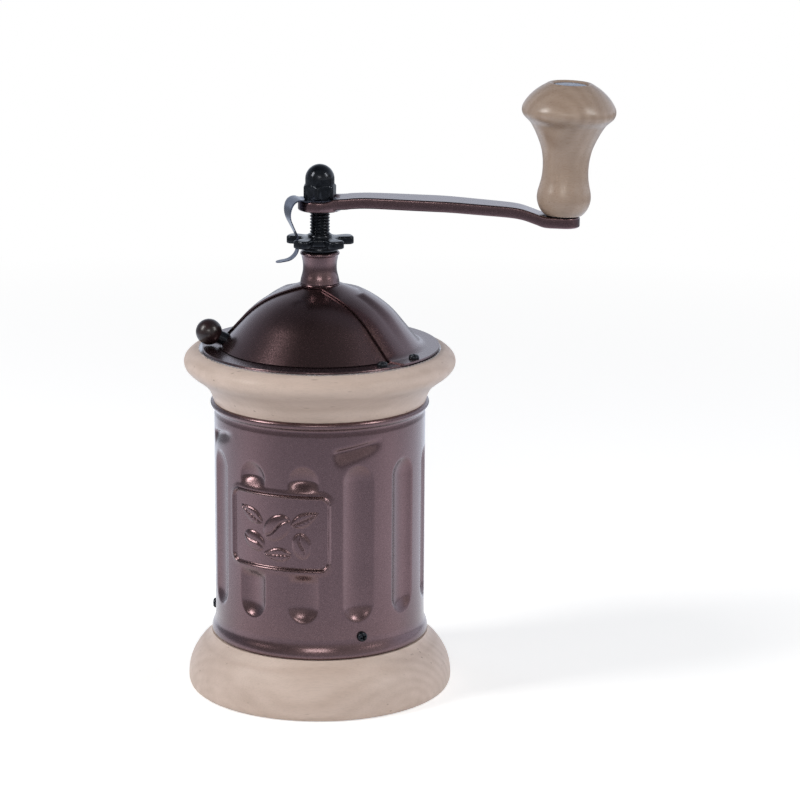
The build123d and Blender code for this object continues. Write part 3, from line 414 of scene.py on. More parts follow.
def beech(name, pith, turn, tones, gloss, figure=1.0, fleck_scale=420.0):
    """Beech: soft growth rings round a pith line, fine pores along the grain and dark flecks.
    pith moves the rings' centre, turn lays the grain (local X) along the wood."""
    material, tree, shader = new_material(name)

    def along_grain(stretch):
        """Coordinates in which a texture is drawn out along the grain."""
        return mapped(tree, turn=turn, scale=(stretch, 1, 1))

    place = split_vector(tree, mapped(tree, turn=turn, shift=pith))
    square = maths(tree, "ADD", maths(tree, "POWER", place["Y"], 2.0),
                   maths(tree, "POWER", place["Z"], 2.0))
    radius = maths(tree, "MULTIPLY_ADD", noise(tree, along_grain(0.35), 45), RING_WAVER,
                   maths(tree, "POWER", square, 0.5))
    phase = maths(tree, "MULTIPLY", radius, 2 * pi / GROWTH_RING)
    rings = map_range(tree, maths(tree, "SINE", phase), -1.0, 1.0)
    ring_share = ramp(tree, noise(tree, along_grain(0.4), 38), (0.42, 0.12), (0.66, 0.36))
    pores = noise(tree, along_grain(0.10), 2600, 2, 0.6)
    bands = noise(tree, along_grain(0.15), 190, 3, 0.6)
    dark, mid, light, fleck = tones
    colour = mix(tree, ring_share, ramp(tree, bands, (0.3, mid), (0.7, light)),
                 ramp(tree, rings, (0.0, dark), (0.45, mid), (1.0, light)))
    colour = shade(tree, colour, pores, (0.34, 0.93), (0.55, 1.0))
    cells = add_node(tree, "TexVoronoi", {"Vector": along_grain(0.20), "Scale": fleck_scale})
    flecks = ramp(tree, cells.outputs["Distance"], (0.08, 1.0), (0.17, 0.0))
    flecks = shade(tree, flecks, noise(tree, along_grain(0.5), 140), (0.50, 0.0), (0.60, 1.0))
    colour = mix(tree, maths(tree, "MULTIPLY", flecks, 0.75 * figure), colour, fleck)
    rough = ramp(tree, pores, (0.3, gloss + 0.12), (0.6, gloss))
    set_finish(tree, shader, colour, rough, pores, 0.08)
    return material


# Tones of wood: dark, middle and light grain, and flecks.
PALE_BEECH = ((0.545, 0.415, 0.345), (0.630, 0.500, 0.430), (0.715, 0.580, 0.510),
              (0.30, 0.205, 0.155))
KNOB_BEECH = ((0.295, 0.207, 0.155), (0.365, 0.268, 0.210), (0.435, 0.332, 0.265),
              (0.18, 0.115, 0.085))
MATERIALS = {name: make(name, *settings) for name, make, *settings in (
    ("beech", beech, (0.0, 0.036, 0.004), (0, 0, 8), PALE_BEECH, 0.45),
    ("knob_beech", beech, (0.0, 0.03, 0.085), (0, 90, 0), KNOB_BEECH, 0.26, 0.8, 620.0),
    ("bronze_paint", bronze_paint), ("blackened_steel", blackened_steel),
    ("spring_steel", spring_steel),
    ("dark_ball", bare_metal, (0.012, 0.006, 0.007), (0.030, 0.014, 0.015), 0.28, 0.0, 300, 0.03),
    ("tin_plate", bare_metal, (0.55, 0.55, 0.57), (0.72, 0.72, 0.74), 0.25, 1.0, 250, 0.04),
    ("tool_steel", bare_metal, (0.30, 0.30, 0.31), (0.46, 0.46, 0.47), 0.35),
    ("cast_iron", bare_metal, (0.05, 0.05, 0.05), (0.12, 0.12, 0.12), 0.62, 0.7, 1400, 0.6),
    ("bronze_bush", bare_metal, (0.36, 0.24, 0.10), (0.52, 0.37, 0.17), 0.35),
)}


# -------- fluted body
ROLL = 1.5  # how far the rolls at the body's foot and rim stand out
BODY_RADIUS = high("body_shell").x - ROLL
FLUTES, DENTS = 12, 4
FLUTE_TOOL = 12.168  # radius of the rounded bar that presses a flute
FLUTE_END = 7.119  # length over which the flute runs out at each end
FLUTE_DEPTH = 2.3
FLUTE_LOW, FLUTE_HIGH = 37.9, 102.3
FLUTE_ROUNDING = 0.35
FLUTE_SPREAD = 0.6  # no flute reaches further than this round the body, in radians
OUT_OF_REACH = BODY_RADIUS + 5.0
DENT_TURN, DENT_HEIGHT, DENT_DEPTH = 46.5, 86.4, 1.30
DENT_LENGTH, DENT_RISE = 20.0, 3.5
PLAQUE_HALF = (22.4, 15.9)
PLAQUE_CORNER = 4.5
PLAQUE_Z = 74.8
PLAQUE_MARGIN = 4  # how far the plaque's relief reaches beyond its half width
CLEAR_FROM, CLEAR_ABOVE, CLEAR_BELOW = 0.5, 6.0, 5.0  # flutes set in at these distances from it
FRAME_LINE, SHOULDER, MOTIF_RELIEF = 1.05, 0.22, 1.3


def body_outline():
    """Heights, and the plain body's radii at them: flared foot, straight wall, rolled rim."""
    foot = curve([(BASE_LEDGE + z, BODY_RADIUS + out) for z, out in (
        (0.0, 0.7), (0.5, 1.25), (1.5, ROLL), (3.2, 1.15), (5.3, 0.35), (7.6, 0.03), (9.5, 0.0),
    )], 10)
    rim = curve([(BODY_TOP - z, BODY_RADIUS + out) for z, out in (
        (6.0, 0.0), (4.6, -0.12), (3.7, -0.1), (3.1, 0.35), (2.4, 1.15), (1.5, ROLL), (0.7, 1.3),
        (0.15, 0.75), (0.0, 0.35),
    )], 10)
    return np.array(foot + rim).T


def flute_surface(angle, z, centre):
    """Radius of the rounded tool that presses one flute; large where it doesn't reach."""
    beyond = np.maximum(FLUTE_LOW + FLUTE_END - z, z - (FLUTE_HIGH - FLUTE_END))
    reach = np.maximum(FLUTE_TOOL ** 2 - np.maximum(beyond, 0.0) ** 2, 0.0)
    offset = BODY_RADIUS - FLUTE_DEPTH + FLUTE_TOOL
    turn = off(angle, centre)
    inside = reach - (offset * np.sin(turn)) ** 2
    hit = offset * np.cos(turn) - np.sqrt(np.maximum(inside, 0.0))
    return np.where((inside > 0) & (np.abs(turn) < FLUTE_SPREAD), hit, OUT_OF_REACH)


def turned_from(u, v, centre, turn):
    """Coordinates along and across a turn in degrees, from a centre."""
    c, s = cos(radians(turn)), sin(radians(turn))
    u, v = u - centre[0], v - centre[1]
    return u * c + v * s, v * c - u * s


def plaque_distance(u, v):
    """Signed distance to the plaque's rounded outline, negative inside."""
    dx = np.abs(u) - (PLAQUE_HALF[0] - PLAQUE_CORNER)
    dy = np.abs(v) - (PLAQUE_HALF[1] - PLAQUE_CORNER)
    outside = np.hypot(np.maximum(dx, 0), np.maximum(dy, 0))
    return outside + np.minimum(np.maximum(dx, dy), 0) - PLAQUE_CORNER


def bean(x, y, length, width):
    """Height of an embossed coffee bean with its curved crease."""
    rho = np.sqrt((x / length) ** 2 + (y / width) ** 2)
    dome = 0.62 * np.sqrt(np.clip(1 - rho ** 2, 0, 1)) ** 0.8
    crease = np.exp(-((y - 0.45 * np.sin(1.15 * pi * x / length)) / 0.38) ** 2) * (rho < 1)
    return dome * (1 - 0.75 * crease)


def leaf(x, y, length, width):
    """Height of an embossed leaf with a middle vein and side veins."""
    along = np.clip((x / length + 1) / 2, 0, 1)
    half = width * np.sin(pi * along ** 0.8) * (np.abs(x) < length)
    inside = np.clip(1 - np.abs(y) / np.maximum(half, 1e-3), 0, 1)
    blade = 0.42 * np.minimum(1.0, inside * 3.0)
    vein = np.exp(-(y / 0.28) ** 2)
    side = 0.35 * np.maximum(0, np.cos(2 * pi * (x - 1.1 * np.abs(y)) / 1.7)) ** 6
    return blade * (1 - 0.7 * vein) * (1 - side)


# Shape, turn, centre and half sizes of each motif on the plaque.
MOTIFS = (
    (bean, 38, (0.3, 1.8), 6.6, 4.6), (bean, -24, (-10.2, -4.8), 5.3, 3.7),
    (bean, 100, (10.6, -5.0), 5.3, 3.7), (leaf, 152, (-11.6, 6.0), 6.2, 2.9),
    (leaf, 26, (12.0, 6.0), 6.2, 2.9), (leaf, 182, (0.4, -9.2), 6.2, 2.9),
)


def plaque_relief(u, v):
    """Height of the plaque's raised frame line, its shoulder and its motifs."""
    edge = plaque_distance(u, v)
    frame_line = FRAME_LINE * (1 - smoothstep(0.10, 0.85, np.abs(edge + 0.75)))
    shoulder = SHOULDER * (1 - smoothstep(0.0, 2.2, edge)) * (edge > -0.75)
    motif = np.zeros_like(u)
    for shape, turn, centre, length, width in MOTIFS:
        motif = np.maximum(motif, shape(*turned_from(u, v, centre, turn), length, width))
    return np.maximum(frame_line, shoulder) + MOTIF_RELIEF * motif


def dent_depth(angle, z, centre):
    """Slanted press near the rim: a soft upper edge, deepest at its lower end, fading below."""
    slant = degrees(atan2(DENT_RISE, DENT_LENGTH))
    u, v = BODY_RADIUS * off(angle, centre), z - (BASE_LEDGE + DENT_HEIGHT)
    x, y = turned_from(u, v, (0.0, 0.0), slant)
    share = np.clip(x / DENT_LENGTH + 0.5, 0, 1)
    ends = smoothstep(-12.6, -8.6, x) * (1 - smoothstep(2.0, 11.0, x))
    above = np.exp(-(np.maximum(y - 0.6, 0) / 0.95) ** 2)
    below = np.exp(-(np.maximum(0.6 - y, 0) / (3.8 - 1.6 * share)) ** 2)
    return (DENT_DEPTH - 0.4 * share) * ends * above * below


def body_surface(plain, angle, z):
    """Outer radius of the body: its plain radius with flutes, plaque and dents."""
    u, v = BODY_RADIUS * off(angle, FRONT), z - PLAQUE_Z
    pressed = plain
    for i in range(FLUTES):
        flute = flute_surface(angle, z, FRONT + 360 / FLUTES * (i + 0.5))
        pressed = soft_min(pressed, flute, FLUTE_ROUNDING)
    clear = smoothstep(CLEAR_FROM, np.where(v > 0, CLEAR_ABOVE, CLEAR_BELOW), plaque_distance(u, v))
    surface = plain + (pressed - plain) * clear
    on_plaque = np.abs(u) < PLAQUE_HALF[0] + PLAQUE_MARGIN
    surface = surface + np.where(on_plaque, plaque_relief(u, v), 0.0)
    for i in range(DENTS):
        surface = surface - dent_depth(angle, z, FRONT + DENT_TURN + 360 / DENTS * i)
    return surface


def build_body():
    """Pressed sheet body; its mesh is finest round the plaque."""
    rows = np.unique(np.round(np.concatenate([
        np.arange(BASE_LEDGE, BASE_LEDGE + 8.5, 0.35), np.arange(BASE_LEDGE + 8.5, 57.0, 0.65),
        np.arange(57.0, 93.0, 0.32), np.arange(93.0, BODY_TOP - 6, 0.5),
        np.linspace(BODY_TOP - 6, BODY_TOP, 24),
    ]), 4))
    turns = np.concatenate([np.arange(-32.0, 32.0, 0.42), np.arange(32.0, 328.0, 0.8)]) + FRONT
    angle, z = np.meshgrid(turns, rows)
    plain = np.interp(z, *body_outline())
    outer = body_surface(plain, angle, z)
    inner = np.minimum(outer - (plain - BODY_RADIUS) - SHEET, BODY_RADIUS - SHEET + 0.05)
    shell("body_sheet", polar_grid(outer, angle, z), polar_grid(inner, angle, z), "stand",
          ["body_shell"], "bronze_paint", 50)


# -------- turned wood
def build_base():
    """Turned foot with a plug that goes up into the body, hollowed to a bowl for the grounds."""
    ledge, plug = BASE_LEDGE, high("base").z
    bowl, floor, fillet = 33.0, 14.0, 6
    plug_radius = BODY_RADIUS - SHEET - 0.05
    side = curve([(51.7, 0.0), (53.2, 0.6), (53.95, 2.4), (54.0, 4.8), (53.7, 7.5), (53.1, 10.0),
                  (52.1, 12.5), (50.5, 15.2), (48.6, 17.6), (46.9, 19.0), (45.7, 20.3),
                  (44.9, 21.6), (44.4, ledge)], 6)
    outline = [(0.0, 0.0)] + side + [
        (plug_radius, ledge), (plug_radius, plug - 1), (plug_radius - 1, plug),
        (bowl + 0.6, plug), (bowl, plug - 0.6), (bowl, floor + fillet),
    ] + arc((bowl - fillet, floor + fillet), fillet, 0, -90, 8) + [(0.0, floor)]
    lathe("base_wood", outline, "stand", ["base"], "beech", 256)


def build_top_ring():
    """Flared ring over the body, with a spigot that goes down into it."""
    foot, spigot_end = BODY_TOP, low("top_ring").z
    bore, spigot, step = 38.9, 41.0, 41.85
    side = raised([(43.1, 0.0), (43.6, 1.6), (44.4, 3.6), (45.6, 5.6), (47.5, 7.6), (50.0, 9.6),
                   (52.8, 11.7), (54.4, 13.6), (54.88, 15.6), (54.3, 17.6), (52.8, 19.2),
                   (51.6, 20.0)], foot)
    outline = curve(side + [(50.4, RING_TOP)], 6) + [
        (bore, RING_TOP), (bore, spigot_end), (spigot, spigot_end), (spigot, foot - 6.6),
        (step, foot - 5.8), (step, foot),
    ]
    lathe("top_ring_wood", outline, "top", ["top_ring"], "beech", 256)


KNOB_FOOT = 0.55  # height of the knob's foot over the arm's seat
KNOB_RECESS = 3.0
KNOB_TOP = KNOB_FOOT + 52.8


def knob_seat():
    """Frame on the arm's end: Z runs up the knob's leaning axis."""
    turn = Vector((0, 0, 1)).rotation_difference(Vector(KNOB_SPIN["axis"])).to_matrix().to_4x4()
    return Matrix.Translation(Vector(KNOB_SPIN["pos_m"]) / MM) @ turn


def build_knob():
    """Waisted stem under a mushroom head with a recess for the axle's head."""
    profile = [(7.75, 0.0), (8.7, 1.0), (9.75, 2.6), (10.55, 4.8), (10.82, 6.8), (10.6, 9.1),
               (10.0, 11.6), (9.4, 14.6), (9.15, 18.4), (9.4, 22.4), (10.2, 26.4), (11.7, 30.3),
               (13.2, 33.4), (15.0, 36.4), (16.5, 37.9), (17.6, 38.9), (18.3, 39.8),
               (18.72, 40.9), (18.8, 42.0), (18.55, 43.2), (17.8, 44.7), (16.5, 46.6),
               (14.75, 48.5), (12.5, 50.4), (10.4, 51.75), (9.1, 52.55), (8.5, 52.8)]
    recess, recess_radius, bore = KNOB_TOP - KNOB_RECESS, 7.3, 3.06
    outline = curve(raised(profile, KNOB_FOOT), 6) + [
        (7.75, KNOB_TOP - 0.12), (recess_radius, KNOB_TOP - 0.6), (recess_radius, recess),
        (bore, recess), (bore, KNOB_FOOT),
    ]
    lathe("knob_wood", outline, "knob", ["hand_knob"], "knob_beech", 160, knob_seat())


# -------- hopper and lid
def build_hopper():
    """Tinned hopper: its flange's rim is cut into fine teeth that show beyond the lid ring."""
    teeth, per_tooth, tooth_depth = 146, 6, 0.85
    columns = teeth * per_tooth
    rim, top, sheet = high("hopper").x, RING_TOP, 0.5
    wall, wall_foot = 38.5, top - 15.0
    cone, floor, throat = 21.5, top - 28.0, 16.9
    phase = (np.arange(columns) % per_tooth) / per_tooth
    notch = tooth_depth * smoothstep(0.25, 0.45, np.abs(phase - 0.5))
    outside = [(rim, top), (rim - 1.2, top), (wall + 1, top), (wall, top - 1.0),
               (wall, wall_foot), (cone, floor), (throat, floor)]
    inside = [(rim, top + sheet), (rim - 1.2, top + sheet), (wall + 0.6, top + sheet),
              (wall - sheet, top - 0.6), (wall - sheet, wall_foot + 0.2),
              (cone - 0.2, floor + sheet), (throat, floor + sheet)]
    at_rim = (np.arange(len(outside)) == 0)[:, None]
    grids = []
    for line in (inside, outside):
        radius, height = np.array(line).T[:, :, None]
        grids.append(polar_grid(radius - notch * at_rim, full_turn(columns), height))
    shell("hopper_cup", *grids, "top", ["hopper"], "tin_plate", 30)


def build_lid_ring():
    """Flat ring on the hopper's flange, with a rounded rim."""
    rim, bore, edge = high("lid_ring").x, 38.05, 0.45
    rounding = arc((rim - edge, LID_TOP - edge), edge, 0, 90, 6)
    outline = [(bore, LID_BOTTOM), (rim - 0.1, LID_BOTTOM)] + rounding + [
        (bore + 0.2, LID_TOP), (bore, LID_TOP - 0.2)]
    lathe("lid_ring_sheet", outline, "top", ["lid_ring"], "bronze_paint", 256)


# The dome's section, as (radius, height over the flange), before its bends are rounded.
DOME_NECK, DOME_SHOULDER, DOME_FOOT = (9.0, 25.75), (25.1, 19.0), (42.2, 0.0)
DOME_BEND, DOME_CREASE = 44.0, 4.5
PANEL_RELIEF = 0.9
WINDOW_HALF = 79.25  # half of the door's spread, in degrees
PANEL_START = WINDOW_HALF + 8.5  # where the raised panel starts, in degrees from the window
HOOD_MARGIN = 6.9  # how far the hood lies over each edge of the closed door
NECK_DISC, NECK_BORE = 9.0, 6.03  # radii of the flat disc under the neck and of its bore
DISC_RINGS = (7.0, 8.2)


def between(a, b, count, whole=False):
    """Points on the way from a to b, without b unless whole is asked."""
    return [a + (b - a) * t for t in np.linspace(0, 1, count, endpoint=whole)]


def bend(centre, arm, turn, count):
    """Points on an arc that starts at the end of an arm from its centre."""
    return [centre + rotated(arm, turn * t) for t in np.linspace(0, 1, count, endpoint=False)]


def dome_line(depth, foot_level, flange_radius=None):
    """Section a depth under the raised panel: neck, bend, slope and, if asked, a flange."""
    neck, corner, foot = np.array([DOME_NECK, DOME_SHOULDER, DOME_FOOT]) + (0.0, FLANGE_TOP)
    gentle, steep = ((b - a) / np.hypot(*(b - a)) for a, b in ((neck, corner), (corner, foot)))
    n_gentle, n_steep = np.array([-gentle[1], gentle[0]]), np.array([-steep[1], steep[0]])
    half_turn = acos(gentle @ steep) / 2
    corner = corner - depth * (n_gentle + n_steep) / (1 + n_gentle @ n_steep)
    radius = DOME_BEND - depth
    start, stop = (corner + way * radius * tan(half_turn) for way in (-gentle, steep))
    line = between(neck - depth * n_gentle, start, 10)
    line += bend(start - n_gentle * radius, radius * n_gentle, -2 * half_turn, 26)
    bottom = stop + steep * (stop[1] - foot_level) / -steep[1]
    if flange_radius is None:
        return np.array(line + between(stop, bottom, 22, whole=True))
    turn = acos(steep[0])
    cut = DOME_CREASE * tan(turn / 2)
    slope_end = bottom - steep * cut
    line += between(stop, slope_end, 22)
    line += bend(slope_end + n_steep * DOME_CREASE, -n_steep * DOME_CREASE, turn, 8)
    rim = np.array([flange_radius, foot_level])
    return np.array(line + between(bottom + (cut, 0.0), rim, 8, whole=True))


def build_hood():
    """Fixed part of the dome: a cut edge over the door, a plain margin, a raised panel behind."""
    rim = high("hood").y
    lines = [dome_line(depth, level, reach) for depth, level, reach in (
        (PANEL_RELIEF, FLANGE_TOP, rim - 0.15), (0.0, FLANGE_TOP, rim - 0.15),
        (PANEL_RELIEF + SHEET, LID_TOP, rim), (SHEET, LID_TOP, rim))]
    behind, front = 320, 40
    phase = pi * np.arange(behind) / (behind - 1)
    share = 0.5 - 0.5 * np.cos(phase) * (0.55 + 0.45 * np.abs(np.cos(phase)))

    def angles(radius):
        """Plan angles of one row: over the sheet, closely at its edges, then over the opening."""
        edge = degrees(asin(min(1.0, HOOD_MARGIN / max(radius, NECK_DISC))))
        first, last = WINDOW + WINDOW_HALF - edge, WINDOW + 360 - WINDOW_HALF + edge
        gap = np.linspace(last, first + 360, front + 2)[1:-1]
        return np.concatenate([first + (last - first) * share, gap])

    def lift(radius, angle):
        """How much of the panel's relief a point has."""
        step = 2.5 + 4.5 * min(1.0, radius / 30)
        right = (angle - (WINDOW + PANEL_START)) * pi / 180 * radius
        left = (WINDOW + 360 - PANEL_START - angle) * pi / 180 * radius
        sides = smoothstep(-0.4, step, right) * smoothstep(-0.4, step, left)
        fade = 1 - 0.85 * smoothstep(28.0, 41.5, radius)
        return sides * smoothstep(15.8, 17.6, radius) * fade

    disc = (NECK_BORE, *DISC_RINGS)
    top, under = ([polar_grid(radius, angles(NECK_DISC), level) for radius in disc]
                  for level in (HOOD_LEVEL, HOOD_LEVEL - SHEET))
    for margin, panel, margin_under, panel_under in zip(*lines):
        angle = angles(margin[0])
        over = lift(margin[0], angle)
        for rows, a, b, weight in ((top, margin, panel, over),
                                   (under, margin_under, panel_under, smoothstep(0, 1, over))):
            radius, height = a[:, None] + (b - a)[:, None] * weight
            rows.append(polar_grid(radius, angle, height))
    active = np.ones((len(top) - 1, behind + front), bool)
    active[len(disc):, behind - 1:] = False
    shell("hood_sheet", top, under, "top", ["hood"], "bronze_paint", 40, active=active)


def build_door():
    """Sliding part of the dome, under the hood, with a ring round the neck's stub."""
    depth = PANEL_RELIEF + SHEET + 0.3
    foot_level = low("door").z
    ring = (6.12, 7.5, 8.2)
    wide, rest = 150, 60
    first, last = WINDOW - WINDOW_HALF, WINDOW + WINDOW_HALF
    angle = np.concatenate([np.linspace(first, last, wide),
                            np.linspace(last, first + 360, rest + 2)[1:-1]])
    grids = []
    for line in (dome_line(depth, foot_level), dome_line(depth + SHEET, foot_level)):
        radius, height = np.array([(r, line[0][1]) for r in ring] + list(line)).T[:, :, None]
        grids.append(polar_grid(radius, angle, height))
    active = np.ones((len(grids[0]) - 1, wide + rest), bool)
    active[len(ring) + 1:, wide - 1:] = False
    shell("door_sheet", *grids, "door", ["door"], "bronze_paint", 40, active=active)


def build_neck():
    """Waisted neck with a beaded rim, and the collar under it."""
    bottom, shoulder = low("neck_bushing").z, high("neck_nut").z
    top, seat, bead = NECK_TOP, NECK_SEAT, 0.95
    bore, stem, seat_radius = 4.05, 5.4, 6.0
    waist = curve(raised([(7.9, 0.45), (7.82, 0.8), (7.55, 2.2), (7.14, 3.7), (6.86, 5.2),
                          (6.77, 6.7), (6.84, 8.2), (7.05, 9.6), (7.3, 10.8), (7.45, 11.4)],
                         seat), 6)
    rim = arc((6.95, top - bead), bead, -50, 90, 12)
    outline = [(seat_radius, seat), (7.5, seat), (7.8, seat + 0.15)] + waist + rim + [
        (bore + 0.25, top), (bore, top - 0.25), (bore, bottom), (stem, bottom), (stem, shoulder),
        (seat_radius, shoulder),
    ]
    lathe("neck_turning", outline, "top", ["neck_bushing"], "bronze_paint", 128)
    foot, edge = HOOD_LEVEL, high("neck_ring").x
    outline = [(NECK_BORE, foot), (edge - 0.1, foot), (edge, foot + 0.15),
               (edge - 0.1, seat - 0.05), (edge - 0.3, seat), (NECK_BORE, seat)]
    lathe("neck_collar", outline, "top", ["neck_ring"], "bronze_paint", 128)


# -------- adjuster, shaft and crank
STAR_TOP = high("adjuster_star").z
STAR_PLATE = STAR_TOP - 3.2  # height of the lobes' underside


def build_star():
    """Five-lobed nut: a plate with rounded lobes on a round boss, and a low collar above."""
    bottom, top, plate = low("adjuster_star").z, STAR_TOP, STAR_PLATE
    first_lobe, lobes, tip, core = -57.0, 5, 13.7, 7.6
    root_half, spread = 2.75, 0.20
    upper_round, lower_round = 0.7, 0.5
    columns = 360

    def distance(radius, angle):
        """Distance to the lobed outline, negative inside."""
        x, y = plan(radius, angle)
        found = radius - core
        for i in range(lobes):
            along, across = turned_from(x, y, (0.0, 0.0), first_lobe + 360 / lobes * i)
            widening = root_half + spread * (along - core)
            sides = np.where(along > 0, np.abs(across) - widening, 20.0)
            found = soft_min(found, soft_max(sides, radius - tip, 2.4), 1.3)
        return found

    def level(depth):
        """Radii at a depth inside the outline."""
        return bisect(lambda radius: distance(radius, full_turn(columns)) < -depth, 3.0, 15.0)

    rows = [(4.05, top + 1.1), (4.6, top + 1.1), (4.85, top + 0.85), (4.9, top + 0.1), (5.1, top),
            (5.1 + (level(upper_round) - 5.1) * 0.5, top)]
    for a in np.linspace(0, pi / 2, 6):
        rows.append((level(upper_round * (1 - sin(a))), top - upper_round * (1 - cos(a))))
    rows.append((level(0.0), plate + lower_round))
    for a in np.linspace(0, pi / 2, 5)[1:]:
        rows.append((level(lower_round * (1 - cos(a))),
                     plate + lower_round * (1 - sin(a))))
    rows += [(7.3, plate), (7.0, plate - 0.3), (7.0, bottom + 1.5), (7.18, bottom + 1.2),
             (7.25, bottom + 0.8), (7.15, bottom + 0.3), (6.8, bottom), (4.3, bottom),
             (4.05, bottom + 0.25)]
    faces = [tuple(reversed(f)) for f in ring_faces(len(rows), columns)]
    make_piece("star_nut", ring_verts(rows, columns), faces, "adjuster", ["adjuster_star"],
               "blackened_steel", 50)


def build_shaft():
    """Round shaft with a journal below and a helical thread above the neck."""
    bottom, top = low("shaft").z, high("shaft").z
    pitch, depth, radius, journal, chamfer = 1.25, 0.55, 4.0, 3.5, 0.8
    shoulder = low("burr_nut").z
    thread = NECK_TOP - 1.0
    columns = 48
    heights = [bottom, shoulder - 0.01, shoulder, thread - 20, thread,
               *np.arange(thread + pitch / 10, top - chamfer, pitch / 10), top - chamfer, top]
    rows = []
    for z in heights:
        r = journal if z < shoulder else radius
        if z > thread:
            phase = (z / pitch - full_turn(columns) / 360.0) % 1.0
            crest = np.clip(1.25 - 2.5 * np.abs(phase - 0.5), 0, 1)
            r = r - depth * (1 - crest) * smoothstep(thread, thread + 1, z)
        rows.append((r - chamfer if z == top else r, z))
    faces = ring_faces(len(rows), columns, close_rows=False)
    faces.append(tuple(reversed(range(columns))))
    faces.append(tuple(range((len(rows) - 1) * columns, len(rows) * columns)))
    make_piece("threaded_shaft", ring_verts(rows, columns), faces, "spindle", ["shaft"],
               "blackened_steel", 60)


KNOB_SPIN = joint("knob_spin")
ARM_LENGTH, END_TOP = KNOB_SPIN["pos_m"][0] / MM, KNOB_SPIN["pos_m"][2] / MM
ARM_HUB, ARM_END, ARM_THICK = 8.8, 6.9, 4.4
ARM_ROUNDING = 0.75
LATCH_SHEET = 0.4
HUB_TOP = low("cap_nut").z - LATCH_SHEET
HUB_BOTTOM = HUB_TOP - 4.2


def bar_top(x):
    """Height of the bar's upper side along its length; its end is the knob's sloping seat."""
    lean = -KNOB_SPIN["axis"][0]
    bow = raised([(-12.0, 1.0), (8.0, 1.15), (13.0, 1.5), (19.0, 1.65), (27.0, 1.38), (39.0, 0.83),
                  (51.0, 0.25), (63.0, -0.8), (75.0, -1.92), (80.5, -2.8), (85.5, -4.5),
                  (88.8, -5.75)], HUB_TOP)
    seat = [(at, END_TOP + lean * (at - ARM_LENGTH)) for at in (91.5, 94.0, 110.0)]
    return np.interp(x, *np.array(curve(bow + seat, 8)).T)


def arm_edge(x, y):
    """Distance to the arm's outline, negative inside: round hub, swelling bar, round end."""
    half = np.interp(x, [0, 16, 32, 46, 60, 75, 90], [6.9, 6.6, 7.3, 7.6, 7.2, 6.6, ARM_END])
    bar = np.where(x > ARM_LENGTH, np.hypot(x - ARM_LENGTH, y) - ARM_END, np.abs(y) - half)
    return soft_min(np.hypot(x, y) - ARM_HUB, np.maximum(bar, -x), 1.6)


def build_arm():
    """Flat forged arm: spot-faced hub, bowed bar and a step down to the knob's seat."""
    back, front = -ARM_HUB, ARM_LENGTH + ARM_END
    share = np.linspace(0, 1, 21)[1:]
    stations = np.concatenate([
        back + 2.5 * share ** 2, np.arange(back + 3.0, 14.0, 0.4), np.arange(14.4, 80.0, 1.6),
        np.arange(80.0, front - 2.6, 0.7), front - 2.5 * share[::-1] ** 2,
    ])
    lanes = np.concatenate([np.linspace(0, 0.86, 9),
                            1 - 0.14 * (1 - np.linspace(0, 1, 9)[1:]) ** 1.6])
    lanes = np.concatenate([-lanes[:0:-1], lanes])
    half = bisect(lambda y: arm_edge(stations, y) < 0, 0.0, 12.0)
    y = half[:, None] * lanes
    x = np.repeat(stations[:, None], len(lanes), axis=1)
    inset = ARM_ROUNDING - np.clip(-arm_edge(x, y), 0, ARM_ROUNDING)
    drop = ARM_ROUNDING - np.sqrt(np.maximum(ARM_ROUNDING ** 2 - inset ** 2, 0))
    rho = np.hypot(x, y)
    outside_nut = smoothstep(7.3, 8.4, rho) * smoothstep(1.5, 6.5, x)
    outside_hub = smoothstep(ARM_HUB - 0.4, ARM_HUB + 0.1, rho) * (x > 0)
    upper = HUB_TOP + (bar_top(x) - HUB_TOP) * outside_nut
    lower = HUB_BOTTOM + (bar_top(x) - ARM_THICK - HUB_BOTTOM) * outside_hub
    grids = [np.stack([x, y, z], axis=-1) for z in (lower + drop, upper - drop)]
    shell("crank_bar", *grids, "spindle", ["crank_arm"], "bronze_paint", 60, wrap=False)


def build_cap_nut():
    """Hexagon cap nut: chamfered corners below and above, then a domed cap over a blind bore."""
    bottom, top = low("cap_nut").z, high("cap_nut").z
    half_flats, hex_top, dome = 6.0, bottom + 5.9, 5.85
    hex_turn = 10.5
    bore, bore_top = 4.02, top - 3.1
    columns = 96
    off_flat = (full_turn(columns) + hex_turn + 30.0) % 60.0 - 30.0
    hexagon = half_flats / np.cos(np.radians(off_flat))
    rows = [(bore, bore_top), (bore, bottom)]
    rows += [(np.minimum(hexagon, cone), z) for cone, z in (
        (6.1, bottom), (7.0, bottom + 0.45), (7.0, hex_top - 0.9), (6.55, hex_top - 0.55),
        (6.2, hex_top - 0.2), (5.95, hex_top),
    )]
    rows += [(dome, hex_top + 0.05)] + arc((0, top - dome), dome, 0, 86, 14)
    verts = np.concatenate([ring_verts(rows, columns), [(0.0, 0.0, top), (0.0, 0.0, bore_top)]])
    faces = ring_faces(len(rows), columns, close_rows=False)
    tip = len(rows) * columns
    for j in range(columns):
        k = (j + 1) % columns
        faces += [(tip - columns + j, tip - columns + k, tip), (k, j, tip + 1)]
    make_piece("cap_nut_steel", verts, faces, "spindle", ["cap_nut"], "blackened_steel", 28)


